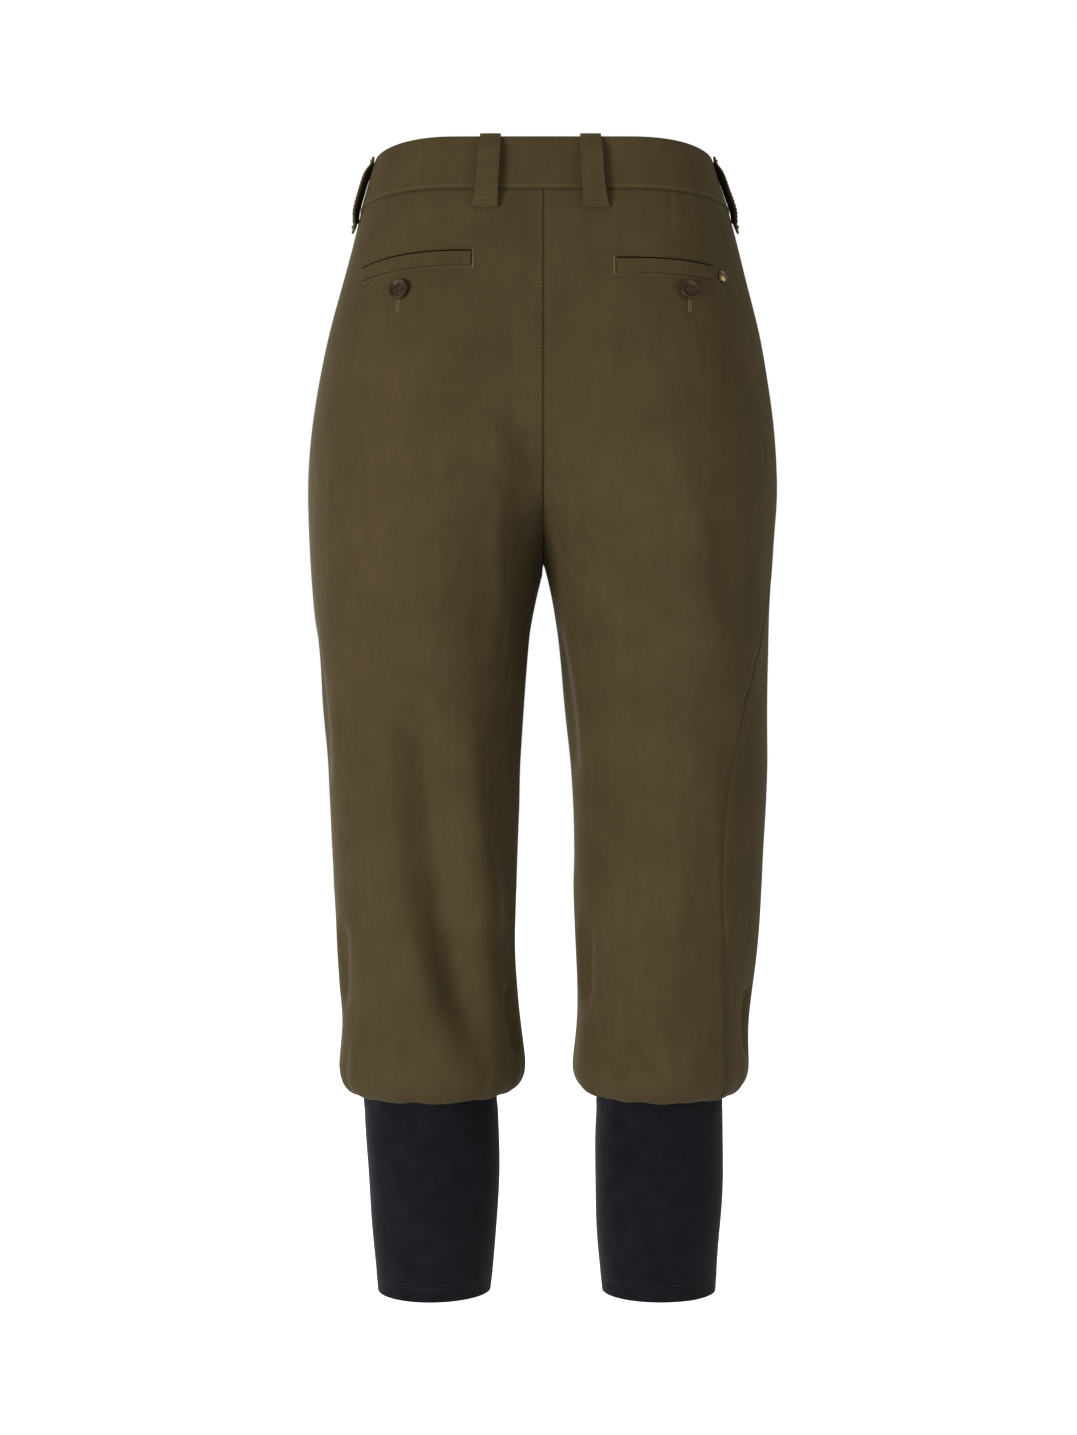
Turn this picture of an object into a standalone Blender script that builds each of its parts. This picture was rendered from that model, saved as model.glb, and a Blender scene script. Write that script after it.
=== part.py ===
"""Knee breeches on their own hollow form: cloth legs bloused over stretch calf cuffs.

Units are metres and +Z is up. The wearer faces -Y and the wearer's left is +X. The
origin is the centre of the waistband ring, where a waist holds the garment up.
Sizes below are in millimetres, times MM where they are used.
"""

from collections import namedtuple
from math import cos, pi, radians, sin

import bmesh
import bpy
import numpy as np
from mathutils import Vector

MM = 0.001

# Walls and gaps.
SEAM_GAP = 0.3
LAID_GAP = 0.6
CLOTH = 2.0
BAND_WALL = 3.0
BAND_PROUD = 0.5
CUFF_WALL = 1.5

# Waistband.
BAND_TOP = 19.0
BAND_BOTTOM = -21.0
FRONT_DIP = 8.0
LAP_OVER = 22.0
LAP_UNDER = 32.0
LAP_EASE = 34.0

# Seat, seams and hem. The seat dips into the centre seam over SEAT_DIP_RUN below the band.
SEAT_DIP = 7.0
SEAT_DIP_RUN = 150.0
FRONT_DIP_RUN = 110.0
CROTCH_Z = -260.0
CROTCH_Y = -6.0
BLOUSE_Z = -679.0
HEM_Z = -703.0
HEM_LIFT = 97.0
ROLL_SQUARE = 1.2

# Belt loops. A loop lies on the band at its two ends and stands off it in between.
LOOP_WIDTH = 16.0
LOOP_WALL = 2.0
LOOP_LOW = 0.5
SIDE_LOOP_AT = 0.91
FRONT_LOOP_AT = 60.0

# Back pockets, as lengths along the seat from the centre-back seam.
POCKET_START = 53.0
WELT_DEPTH = 10.5
WELT_WALL = 1.1

# Buttons and stud.
BUTTON_RADIUS = 7.6
BUTTON_WALL = 2.8
BUTTON_HOLE = 0.9
HOLE_SPREAD = 1.55
POCKET_BUTTON_AT = 107.0
POCKET_BUTTON_Z = -98.0
POCKET_BUTTON_LIFT = 1.0
WAIST_BUTTON_AT = 8.0
WAIST_BUTTON_LIFT = 1.2
RIVET_RADIUS = 4.8
RIVET_AT = 142.5
RIVET_Z = -83.5

# Fly, as lengths along the front from the centre.
FLY_WIDTH = 38.0
FLY_PAST = 4.0
FLY_END = -168.0
FLY_CURVE = 42.0
FLY_TOE = 5.0
FLY_WALL = 1.2

# How finely the cloth is faceted.
PANEL_COLUMNS = 12
SEAT_ROWS = 12
LEG_ROWS = 16
ROLL_ROWS = 5
BAND_COLUMNS = 62
BAND_ROWS = 3
WELT_COLUMNS = 8
FLY_ROWS = 5
CURVE_POINTS = 40
ROUND_CORNER = 0.552  # the handle length that makes a curve's quarter turn a circle's

BACK, FRONT = 0, 1
LEFT, RIGHT = 1, -1

# A row per level of the legs and seat. z is the height at the side seam and drop is how much
# lower the level lies at the centre seam. turn bends the centre seam from the seat (0) to the
# crotch point (90). The out and in columns are side and inseam distances from the middle of
# the body, mid is where the back and front are deepest, and full squares the side's corners.
Level = namedtuple("Level", "z drop turn out_left out_right in_left in_right mid back front full")
LEVELS = [
    Level(19.0, 0, 0, 131.0, 131.5, 0, 0, 68, 93.5, -84.5, 0.55),
    Level(0.0, 0, 0, 136.5, 137.0, 0, 0, 68, 95.5, -87.0, 0.55),
    Level(-19.0, 0, 0, 142.0, 144.0, 0, 0, 69, 98.5, -90.0, 0.55),
    Level(-45.0, 0, 0, 148.0, 151.0, 0, 0, 70, 105.5, -96.0, 0.555),
    Level(-75.0, 0, 0, 156.0, 158.0, 0, 0, 72, 113.0, -102.0, 0.56),
    Level(-115.0, 1, 0, 167.0, 168.3, 0, 0, 75, 121.5, -108.0, 0.56),
    Level(-155.0, 4, 5, 175.2, 175.0, 0, 0, 78, 127.0, -111.0, 0.56),
    Level(-185.0, 10, 17, 180.0, 179.3, 0, 0, 81, 128.5, -112.0, 0.56),
    Level(-207.0, 19, 34, 182.2, 180.8, 0, 0, 84, 127.8, -112.0, 0.56),
    Level(-226.0, 28, 52, 183.5, 182.0, 0, 0, 86, 126.0, -111.5, 0.56),
    Level(-243.0, 33, 72, 183.7, 182.0, 0, 0, 88, 123.5, -110.5, 0.56),
    Level(-260.0, 33, 90, 183.3, 180.6, 0.2, 0.2, 90, 120.5, -109.5, 0.56),
    Level(-285.0, 24, 90, 182.3, 178.8, 3.0, 4.0, 92, 115.5, -107.0, 0.56),
    Level(-320.0, 11, 90, 179.8, 176.9, 7.4, 8.4, 94, 108.0, -103.5, 0.56),
    Level(-360.0, 2, 90, 175.9, 175.5, 10.8, 12.0, 94, 100.0, -100.5, 0.56),
    Level(-410.0, 0, 90, 172.3, 174.8, 15.4, 16.5, 94, 91.5, -98.0, 0.56),
    Level(-460.0, 0, 90, 167.7, 175.6, 17.4, 22.0, 94, 84.5, -96.5, 0.56),
    Level(-510.0, 0, 90, 165.6, 172.6, 19.6, 23.8, 94, 79.0, -96.0, 0.56),
    Level(-560.0, 0, 90, 161.9, 170.5, 20.4, 23.9, 93, 76.0, -93.0, 0.56),
    Level(-600.0, 0, 90, 159.5, 167.2, 20.8, 25.4, 92, 75.0, -88.0, 0.57),
    Level(-630.0, 0, 90, 157.2, 162.6, 19.3, 27.4, 91, 76.0, -84.0, 0.58),
    Level(-648.0, 0, 90, 156.6, 160.0, 17.6, 26.0, 90, 77.5, -82.0, 0.59),
    Level(-664.0, 0, 90, 159.0, 161.6, 15.6, 24.0, 89, 79.5, -81.0, 0.60),
    Level(-679.0, 0, 90, 160.6, 161.4, 13.0, 21.6, 89, 80.5, -80.5, 0.60),
]

# A row per level of the calf cuffs.
Cuff = namedtuple("Cuff", "z out_left out_right in_left in_right back front")
CUFFS = [
    Cuff(-683.0, 138.6, 138.2, 36.0, 43.0, 56.0, -49.0),
    Cuff(-703.0, 140.0, 139.8, 34.7, 41.5, 57.5, -50.5),
    Cuff(-750.0, 137.7, 141.2, 33.4, 39.6, 58.5, -50.0),
    Cuff(-796.0, 134.6, 139.2, 34.7, 40.2, 55.5, -47.5),
    Cuff(-830.0, 131.8, 136.4, 38.2, 42.8, 50.0, -44.5),
    Cuff(-856.0, 129.9, 134.6, 41.0, 44.9, 46.5, -42.5),
]

# A row per large fold. path is a list of (share, z): share runs round the leg from the inseam
# at the back (0) over the side (1) to the inseam at the front (2). depth is in, so ridges are
# negative.
Fold = namedtuple("Fold", "side path width depth")
FOLDS = [
    Fold(LEFT, [(0.60, -355), (0.57, -445), (0.51, -520), (0.43, -590), (0.30, -665)], 17, 5.0),
    Fold(LEFT, [(0.16, -420), (0.22, -500), (0.14, -545), (0.12, -610)], 13, 3.2),
    Fold(LEFT, [(0.36, -470), (0.34, -560), (0.24, -640)], 16, -2.4),
    Fold(RIGHT, [(0.36, -510), (0.42, -600)], 17, 2.6),
    Fold(RIGHT, [(0.62, -620), (0.45, -668)], 13, 3.4),
    Fold(RIGHT, [(0.42, -618), (0.28, -672)], 13, 3.0),
    Fold(RIGHT, [(0.83, -600), (0.86, -672)], 12, 4.2),
    Fold(LEFT, [(1.52, -380), (1.58, -470), (1.50, -560), (1.62, -650)], 18, 4.4),
    Fold(LEFT, [(1.25, -560), (1.34, -665)], 14, 3.4),
    Fold(RIGHT, [(1.48, -400), (1.55, -500), (1.50, -600)], 18, 4.2),
    Fold(RIGHT, [(1.70, -600), (1.62, -670)], 13, 3.2),
]

# A row per step of the side seams away from the side: share is how far they move to the front
# (positive) or the back, between the depths start and end below the waist.
Swing = namedtuple("Swing", "side share start end")
SWINGS = [
    Swing(LEFT, 0.03, 300, 550),
    Swing(RIGHT, -0.335, 200, 490),
    Swing(RIGHT, 0.055, 520, 660),
]

# A row per height of a belt loop: how far its back stands off the waist there.
Stand = namedtuple("Stand", "z off")
LOOP_STANDS = [
    Stand(20.5, BAND_PROUD + LOOP_LOW),
    Stand(17.0, BAND_PROUD + LOOP_LOW),
    Stand(13.5, 3.0),
    Stand(10.0, 5.0),
    Stand(5.0, 5.8),
    Stand(-4.0, 5.8),
    Stand(-13.0, 5.8),
    Stand(-21.0, 5.6),
    Stand(-26.0, 4.6),
    Stand(-29.5, 2.2),
    Stand(-33.0, LOOP_LOW),
    Stand(-36.0, LOOP_LOW),
]

# A row per back belt loop: its length along the band from the centre-back seam.
BackLoop = namedtuple("BackLoop", "side along")
BACK_LOOPS = [BackLoop(LEFT, 40.5), BackLoop(RIGHT, 35.5)]

# A row per back pocket: the height of its mouth, its length along the seat and how far its
# outer end falls.
Pocket = namedtuple("Pocket", "side z length fall")
POCKETS = [Pocket(LEFT, -70.0, 91.0, 6.0), Pocket(RIGHT, -75.5, 77.0, 2.0)]

Material = namedtuple("Material", "name colour roughness metallic")
MOLESKIN = Material("moleskin", (0.075, 0.054, 0.024), 0.92, 0.0)
JERSEY = Material("jersey", (0.012, 0.012, 0.015), 0.85, 0.0)
HORN = Material("horn_plastic", (0.040, 0.022, 0.012), 0.35, 0.0)
BRASS = Material("aged_brass", (0.34, 0.22, 0.09), 0.38, 1.0)


def material_of(spec):
    """The Principled material of a finish, made once."""
    found = bpy.data.materials.get(spec.name)
    if found:
        return found
    made = bpy.data.materials.new(spec.name)
    made.use_nodes = True
    shader = made.node_tree.nodes["Principled BSDF"]
    shader.inputs["Base Color"].default_value = (*spec.colour, 1.0)
    shader.inputs["Roughness"].default_value = spec.roughness
    shader.inputs["Metallic"].default_value = spec.metallic
    return made


def smooth(at, xs, ys):
    """Cubic through the table's points (xs rising), with no overshoot between them."""
    xs = np.asarray(xs, float)
    ys = np.asarray(ys, float)
    step = np.diff(xs)
    rise = np.diff(ys) / step
    slope = np.empty_like(ys)
    slope[0], slope[-1] = rise[0], rise[-1]
    slope[1:-1] = np.where(rise[:-1] * rise[1:] > 0, (rise[:-1] + rise[1:]) / 2, 0)
    limit = 3 * np.minimum(np.abs(np.append(rise, rise[-1])), np.abs(np.append(rise[0], rise)))
    slope = np.clip(slope, -limit, limit)
    at = np.clip(at, xs[0], xs[-1])
    i = np.clip(np.searchsorted(xs, at) - 1, 0, len(step) - 1)
    t = (at - xs[i]) / step[i]
    start, end = ys[i], ys[i + 1]
    return (
        start * (1 + 2 * t) * (1 - t) ** 2
        + end * t * t * (3 - 2 * t)
        + step[i] * (slope[i] * t * (1 - t) ** 2 + slope[i + 1] * t * t * (t - 1))
    )


def fade(t):
    """0 to 1 as t goes from 0 to 1, flat at both ends."""
    t = np.clip(t, 0, 1)
    return t * t * (3 - 2 * t)


def level_at(z):
    depths = [-row.z for row in LEVELS]
    return Level(*(float(smooth(-z, depths, column)) for column in zip(*LEVELS)))


def cuff_at(z):
    depths = [-row.z for row in CUFFS]
    return Cuff(*(float(smooth(-z, depths, column)) for column in zip(*CUFFS)))


def bezier(a, b, c, d):
    t = np.linspace(0, 1, CURVE_POINTS)[:, None]
    a, b, c, d = (np.array(p, float) for p in (a, b, c, d))
    return a * (1 - t) ** 3 + 3 * b * t * (1 - t) ** 2 + 3 * c * t * t * (1 - t) + d * t**3


def quarter(start, mid, end, turn, full):
    """The half section from the centre seam over its deepest point to the side."""
    across, deep = mid[0] - start[0], mid[1] - start[1]
    reach = 0.55 * (across * cos(turn) + abs(deep) * sin(turn))
    rise = min(reach * sin(turn), 0.7 * abs(deep)) * (1 if deep > 0 else -1)
    first = bezier(
        start, (start[0] + reach * cos(turn), start[1] + rise), (mid[0] - 0.55 * across, mid[1]), mid
    )
    second = bezier(
        mid,
        (mid[0] + full * (end[0] - mid[0]), mid[1]),
        (end[0], end[1] + full * (mid[1] - end[1])),
        end,
    )
    return np.vstack([first, second[1:]])


def seam_depth(level, deepest):
    """Y of the centre seam at this level, from the seat or belly round to the crotch."""
    sunk = SEAT_DIP * fade((BAND_BOTTOM - level.z) / SEAT_DIP_RUN)
    wall = deepest - sunk if deepest > 0 else deepest + 0.5 * sunk
    return CROTCH_Y + (wall - CROTCH_Y) * max(cos(radians(level.turn)), 0) ** 0.8


def sample(curve, shares):
    """Points at these shares of the curve's length."""
    length = np.append(0, np.cumsum(np.linalg.norm(np.diff(curve, axis=0), axis=1)))
    at = np.asarray(shares) * length[-1]
    return np.column_stack([np.interp(at, length, curve[:, k]) for k in range(curve.shape[1])])


def ring(level, side, shares):
    """Points round one side's section. A share runs from 0 at the centre back over 1 at the
    side to 2 at the centre front."""
    out = level.out_left if side == LEFT else level.out_right
    inner = level.in_left if side == LEFT else level.in_right
    turn = radians(level.turn)
    halves = []
    for deepest in (level.back, level.front):
        start = (inner, seam_depth(level, deepest))
        halves.append(quarter(start, (level.mid, deepest), (out, 0.0), turn, level.full))
    shares = np.asarray(shares, float)
    points = np.where(
        (shares <= 1)[:, None],
        sample(halves[BACK], np.clip(shares, 0, 1)),
        sample(halves[FRONT], np.clip(2 - shares, 0, 1)),
    )
    to_seam = np.minimum(shares, 2 - shares)
    height = level.z - level.drop * (1 - fade(to_seam))
    height -= FRONT_DIP * fade(shares - 1) * (1 - fade((BAND_BOTTOM - level.z) / FRONT_DIP_RUN))
    return np.column_stack([side * points[:, 0], points[:, 1], height])


def half_length(level, side, half):
    points = ring(level, side, np.linspace(half, half + 1, CURVE_POINTS))
    return float(np.linalg.norm(np.diff(points, axis=0), axis=1).sum())


def seam_share(side, z):
    """Where the side seam runs: the right leg's swings to the back below the hip."""
    swings = [row for row in SWINGS if row.side == side]
    return 1 + sum(row.share * fade((-z - row.start) / (row.end - row.start)) for row in swings)


def column_shares(side, z):
    seam = seam_share(side, z)
    back = np.linspace(0, seam, PANEL_COLUMNS + 1)
    front = np.linspace(seam, 2, PANEL_COLUMNS + 1)
    return np.append(back, front[1:])


def normals_of(grid, is_leg):
    """Outward directions over a side's grid, joined at the inseam where it is a leg."""
    along = np.gradient(grid, axis=0)
    around = np.gradient(grid, axis=1)
    around[is_leg, 0] = grid[is_leg, 1] - grid[is_leg, -2]
    around[is_leg, -1] = around[is_leg, 0]
    normal = np.cross(around, along)
    normal /= np.linalg.norm(normal, axis=2, keepdims=True)
    middle = grid.mean(axis=1, keepdims=True)
    outward = ((grid - middle) * normal)[:, :, :2].sum()
    return normal if outward > 0 else -normal


def fold_depth(side, shares, grid):
    """How far each point of a side's grid is pressed in by the folds, in millimetres."""
    depth = np.zeros(grid.shape[:2])
    for fold in FOLDS:
        if fold.side != side:
            continue
        at_share = [point[0] for point in fold.path]
        at_depth = [-point[1] for point in fold.path]
        below = -grid[:, :, 2]
        centre = smooth(below, at_depth, at_share)
        girth = np.linalg.norm(np.diff(grid, axis=1), axis=2).sum(axis=1, keepdims=True) / 2
        away = (shares - centre) * girth
        ends = fade((below - at_depth[0] + 30) / 60) * fade((at_depth[-1] - below + 15) / 30)
        depth += fold.depth * np.exp(-((away / fold.width) ** 2)) * ends
    return depth


def leg_grid(side):
    """Outer points and outward directions of one side, waist to hem, seam to seam."""
    seat = np.linspace(BAND_BOTTOM, CROTCH_Z, SEAT_ROWS)
    leg = np.linspace(CROTCH_Z, BLOUSE_Z, LEG_ROWS)
    heights = np.append(seat, leg[1:])
    shares = np.array([column_shares(side, z) for z in heights])
    grid = np.array([ring(level_at(z), side, row) for z, row in zip(heights, shares)])
    is_leg = heights <= CROTCH_Z
    normal = normals_of(grid, is_leg)
    grid -= normal * fold_depth(side, shares, grid)[:, :, None]

    # The roll turns the blouse in under itself, down to the cuff.
    hem = cuff_ring(HEM_Z, side, shares[-1], SEAM_GAP)
    roll = []
    for angle in np.linspace(0, radians(HEM_LIFT), ROLL_ROWS + 1)[1:]:
        inward = ((1 - cos(angle)) / (1 - cos(radians(HEM_LIFT)))) ** ROLL_SQUARE
        row = grid[-1] + (hem - grid[-1]) * inward
        row[:, 2] = grid[-1, :, 2] + (HEM_Z - BLOUSE_Z) * sin(angle)
        roll.append(row)
    grid = np.concatenate([grid, roll])
    is_leg = np.append(is_leg, [True] * ROLL_ROWS)
    normal = normals_of(grid, is_leg)
    normal[0, :, 2] = 0
    normal[0] /= np.linalg.norm(normal[0], axis=1, keepdims=True)
    return grid, normal, is_leg


def cuff_ring(z, side, shares, outset=0.0):
    row = cuff_at(z)
    out = (row.out_left if side == LEFT else row.out_right) + outset
    inner = (row.in_left if side == LEFT else row.in_right) - outset
    mid = (out + inner) / 2
    middle = (row.back + row.front) / 2
    points = []
    for deepest in (row.back + outset, row.front - outset):
        curve = quarter(
            (inner, middle), (mid, deepest), (out, middle), radians(90), ROUND_CORNER
        )
        points.append(curve)
    shares = np.asarray(shares, float)
    flat = np.where(
        (shares <= 1)[:, None],
        sample(points[BACK], np.clip(shares, 0, 1)),
        sample(points[FRONT], np.clip(2 - shares, 0, 1)),
    )
    return np.column_stack([side * flat[:, 0], flat[:, 1], np.full(len(shares), z)])


def finish_object(name, bm, spec):
    """Turns a closed bmesh in millimetres into a named object in metres."""
    bmesh.ops.scale(bm, vec=(MM, MM, MM), verts=bm.verts)
    bmesh.ops.recalc_face_normals(bm, faces=bm.faces)
    mesh = bpy.data.meshes.new(name)
    bm.to_mesh(mesh)
    bm.free()
    mesh.shade_smooth()
    mesh.set_sharp_from_angle(angle=radians(40))
    made = bpy.data.objects.new(name, mesh)
    made.data.materials.append(material_of(spec))
    garment.objects.link(made)
    return made


def wall(name, outer, inner, spec, closed=False):
    """A cloth wall between an outer and an inner grid of points. closed joins its columns."""
    rows, columns = outer.shape[:2]
    bm = bmesh.new()
    front, back = (
        [[bm.verts.new(point) for point in row] for row in grid] for grid in (outer, inner)
    )
    last = columns if closed else columns - 1
    for r in range(rows - 1):
        for c in range(last):
            n = (c + 1) % columns
            bm.faces.new((front[r][c], front[r][n], front[r + 1][n], front[r + 1][c]))
            bm.faces.new((back[r][c], back[r + 1][c], back[r + 1][n], back[r][n]))
    for r in (0, rows - 1):
        for c in range(last):
            n = (c + 1) % columns
            bm.faces.new((front[r][c], back[r][c], back[r][n], front[r][n]))
    if not closed:
        for c in (0, columns - 1):
            for r in range(rows - 1):
                bm.faces.new((front[r][c], front[r + 1][c], back[r + 1][c], back[r][c]))
    return finish_object(name, bm, spec)


def panels(side):
    """The back and front of one leg, with a gap at the centre seam, side seam and inseam."""
    word = "left" if side == LEFT else "right"
    outer, normal, is_leg = leg_grid(side)
    outer[0, :, 2] -= SEAM_GAP / 2
    inner = outer - CLOTH * normal
    torso = ~is_leg
    for column in (0, -1):
        inner[torso, column, 0] = np.where(
            side * inner[torso, column, 0] < SEAM_GAP / 2,
            side * SEAM_GAP / 2,
            inner[torso, column, 0],
        )
    spans = (("back_", slice(0, PANEL_COLUMNS + 1)), ("front_", slice(PANEL_COLUMNS, None)))
    for name, span in spans:
        face, lining = outer[:, span].copy(), inner[:, span].copy()
        for grid in (face, lining):
            open_here(grid, side, is_leg, name == "back_")
        wall(name + word, face, lining, MOLESKIN)


def open_here(grid, side, is_leg, is_back):
    """Opens both side edges of a panel's grid. The centre seam and the inseam share an edge."""
    seam, other = (0, -1) if is_back else (-1, 0)
    for edge in (seam, other):
        inward = 1 if edge == 0 else -2
        towards = grid[:, inward] - grid[:, edge]
        towards /= np.linalg.norm(towards, axis=1, keepdims=True)
        moved = grid[:, edge] + towards * SEAM_GAP / 2
        if edge == seam:
            torso = ~is_leg
            moved[torso] = grid[torso, edge]
            moved[:, 0] = np.where(
                side * moved[:, 0] < SEAM_GAP / 2, side * SEAM_GAP / 2, moved[:, 0]
            )
        grid[:, edge] = moved


def waist_ring(z, shares):
    """Points round the whole waist: 0 is the centre front, and it runs over the left side."""
    shares = np.mod(np.asarray(shares, float), 1.0)
    level = level_at(z)
    left = ring(level, LEFT, 2 - 4 * np.clip(shares, 0, 0.5))
    right = ring(level, RIGHT, 4 * np.clip(shares, 0.5, 1) - 2)
    return np.where((shares <= 0.5)[:, None], left, right)


def flat_normals(points):
    """Level outward directions along a closed run of points seen from above."""
    step = np.gradient(points, axis=0)
    normal = np.column_stack([-step[:, 1], step[:, 0], np.zeros(len(points))])
    normal /= np.linalg.norm(normal, axis=1, keepdims=True)
    outward = (normal * (points - points.mean(axis=0)))[:, :2].sum() > 0
    return normal if outward else -normal


def waistband():
    """One strip round the waist whose right end passes inside its left end at the front."""
    girth = sum(half_length(level_at(0), side, half) for side in (LEFT, RIGHT) for half in (BACK, FRONT))
    shares = np.linspace(-LAP_OVER / girth, 1 + LAP_UNDER / girth, BAND_COLUMNS + 1)
    tucked = fade((shares * girth - (girth - LAP_OVER - LAP_EASE)) / LAP_EASE)
    inset = tucked * (BAND_WALL + SEAM_GAP)
    outer, inner = [], []
    for z in np.linspace(BAND_TOP, BAND_BOTTOM, BAND_ROWS + 1):
        points = waist_ring(z, shares)
        normal = flat_normals(points)
        points = points + normal * (BAND_PROUD - inset)[:, None]
        if z == BAND_BOTTOM:
            points[:, 2] += SEAM_GAP / 2
        outer.append(points)
        inner.append(points - normal * BAND_WALL)
    wall("waistband", np.array(outer), np.array(inner), MOLESKIN)


def surface(side, share, z):
    """A point on one side's outer surface and its outward direction."""
    level = level_at(z)
    share_step, z_step = 0.02, 4.0
    across = ring(level, side, [share - share_step, share, share + share_step])
    above = ring(level_at(z + z_step), side, [share])[0]
    below = ring(level_at(z - z_step), side, [share])[0]
    normal = np.cross(across[2] - across[0], below - above)
    normal /= np.linalg.norm(normal)
    from_middle = across[1][:2] - np.array([side * level.mid, 0])
    return across[1], normal if np.dot(normal[:2], from_middle) > 0 else -normal


def belt_loop(name, side, share):
    """A folded strip sewn down at the band's top and below its seam, standing off between."""
    half = BACK if share <= 1 else FRONT
    reach = LOOP_WIDTH / 2 / half_length(level_at(0), side, half)
    inner, outer = [], []
    for z, off in LOOP_STANDS:
        low, high = [], []
        for offset in (-reach, 0, reach):
            point, normal = surface(side, share + offset, z)
            normal[2] = 0
            normal /= np.linalg.norm(normal)
            point[2] += z - level_at(z).z
            low.append(point + normal * off)
            high.append(point + normal * (off + LOOP_WALL))
        inner.append(low)
        outer.append(high)
    wall(name, np.array(outer), np.array(inner), MOLESKIN)


def seat_share(side, along, z, half=BACK):
    """The share at a length along the cloth from the centre seam."""
    share = along / half_length(level_at(z), side, half)
    return share if half == BACK else 2 - share


def laid_strip(name, points, normals, thickness):
    """A thin strip that lies on a panel: its under side clears the panel facets."""
    low = points + normals * LAID_GAP
    wall(name, low + normals * thickness, low, MOLESKIN)


def welt(pocket):
    """The pocket's folded edge, sewn below the slit."""
    word = "left" if pocket.side == LEFT else "right"
    points, normals = [], []
    for down in (0, WELT_DEPTH / 2, WELT_DEPTH):
        row = [
            surface(
                pocket.side,
                seat_share(pocket.side, POCKET_START + pocket.length * part, pocket.z),
                pocket.z - pocket.fall * part**2 - down,
            )
            for part in np.linspace(0, 1, WELT_COLUMNS + 1)
        ]
        points.append([place for place, _ in row])
        normals.append([direction for _, direction in row])
    laid_strip("welt_" + word, np.array(points), np.array(normals), WELT_WALL)


def fly_flap():
    """The fly's outer layer: it laps just past the centre and ends in a J below."""
    straight = np.linspace(BAND_BOTTOM - 1, FLY_END + FLY_CURVE, FLY_ROWS + 1)
    turning = FLY_END + FLY_CURVE * (1 - np.sin(np.linspace(0, pi / 2, FLY_ROWS + 1)))
    heights = np.append(straight, turning[1:])
    points, normals = [], []
    for z in heights:
        lower = np.clip((FLY_END + FLY_CURVE - z) / FLY_CURVE, 0, 1)
        wide = FLY_TOE + (FLY_WIDTH - FLY_TOE) * (1 - lower**2) ** 0.5
        row = []
        for along in np.linspace(-FLY_PAST, wide, 5):
            side = LEFT if along >= 0 else RIGHT
            row.append(surface(side, seat_share(side, abs(along), z, FRONT), z))
        points.append([place for place, _ in row])
        normals.append([direction for _, direction in row])
    laid_strip("fly_flap", np.array(points), np.array(normals), FLY_WALL)


def turned(name, profile, spec, at, direction, segments=20):
    """A shape turned about its own axis, with its back at a point and its face outwards."""
    mesh = bpy.data.meshes.new(name)
    edges = [(i, i + 1) for i in range(len(profile) - 1)]
    mesh.from_pydata([(r * MM, 0, z * MM) for r, z in profile], edges, [])
    made = bpy.data.objects.new(name, mesh)
    garment.objects.link(made)
    spin = made.modifiers.new("turn", "SCREW")
    spin.steps = spin.render_steps = segments
    spin.use_merge_vertices = True
    spin.merge_threshold = 0.00001
    made.data.materials.append(material_of(spec))
    made.location = [value * MM for value in at]
    made.rotation_mode = "QUATERNION"
    made.rotation_quaternion = Vector(direction).to_track_quat("Z", "Y")
    return made


def button(name, side, share, z, lift):
    """A four-hole button with a raised rim, sewn on the cloth."""
    point, normal = surface(side, share, z)
    profile = [
        (0, BUTTON_WALL * 0.55),
        (BUTTON_RADIUS * 0.6, BUTTON_WALL * 0.55),
        (BUTTON_RADIUS * 0.78, BUTTON_WALL),
        (BUTTON_RADIUS * 0.94, BUTTON_WALL * 0.88),
        (BUTTON_RADIUS, BUTTON_WALL * 0.5),
        (BUTTON_RADIUS * 0.85, 0),
        (0, 0),
    ]
    made = turned(name, profile, HORN, point + normal * lift, normal)
    for x in (-HOLE_SPREAD, HOLE_SPREAD):
        for y in (-HOLE_SPREAD, HOLE_SPREAD):
            bm = bmesh.new()
            bmesh.ops.create_cone(
                bm,
                cap_ends=True,
                segments=8,
                radius1=BUTTON_HOLE * MM,
                radius2=BUTTON_HOLE * MM,
                depth=4 * BUTTON_WALL * MM,
            )
            bmesh.ops.translate(bm, vec=(x * MM, y * MM, 0), verts=bm.verts)
            mesh = bpy.data.meshes.new("button_hole")
            bm.to_mesh(mesh)
            bm.free()
            drill = bpy.data.objects.new("button_hole", mesh)
            cutters.objects.link(drill)
            drill.location = made.location
            drill.rotation_mode = "QUATERNION"
            drill.rotation_quaternion = made.rotation_quaternion
            drill.hide_render = True
            drill.display_type = "WIRE"
            cut = made.modifiers.new("hole", "BOOLEAN")
            cut.operation = "DIFFERENCE"
            cut.object = drill
    return made


def rivet():
    """A small domed stud beside the right back pocket."""
    point, normal = surface(RIGHT, seat_share(RIGHT, RIVET_AT, RIVET_Z), RIVET_Z)
    dome = [(RIVET_RADIUS * 0.62 * sin(a), 0.9 + 0.9 * cos(a)) for a in np.linspace(0, pi / 2, 5)]
    rim = [(RIVET_RADIUS * 0.9, 0.9), (RIVET_RADIUS, 0.6), (RIVET_RADIUS, 0.0), (0, 0)]
    turned("rivet", dome + rim, BRASS, point + normal * SEAM_GAP, normal, 16)


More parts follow.
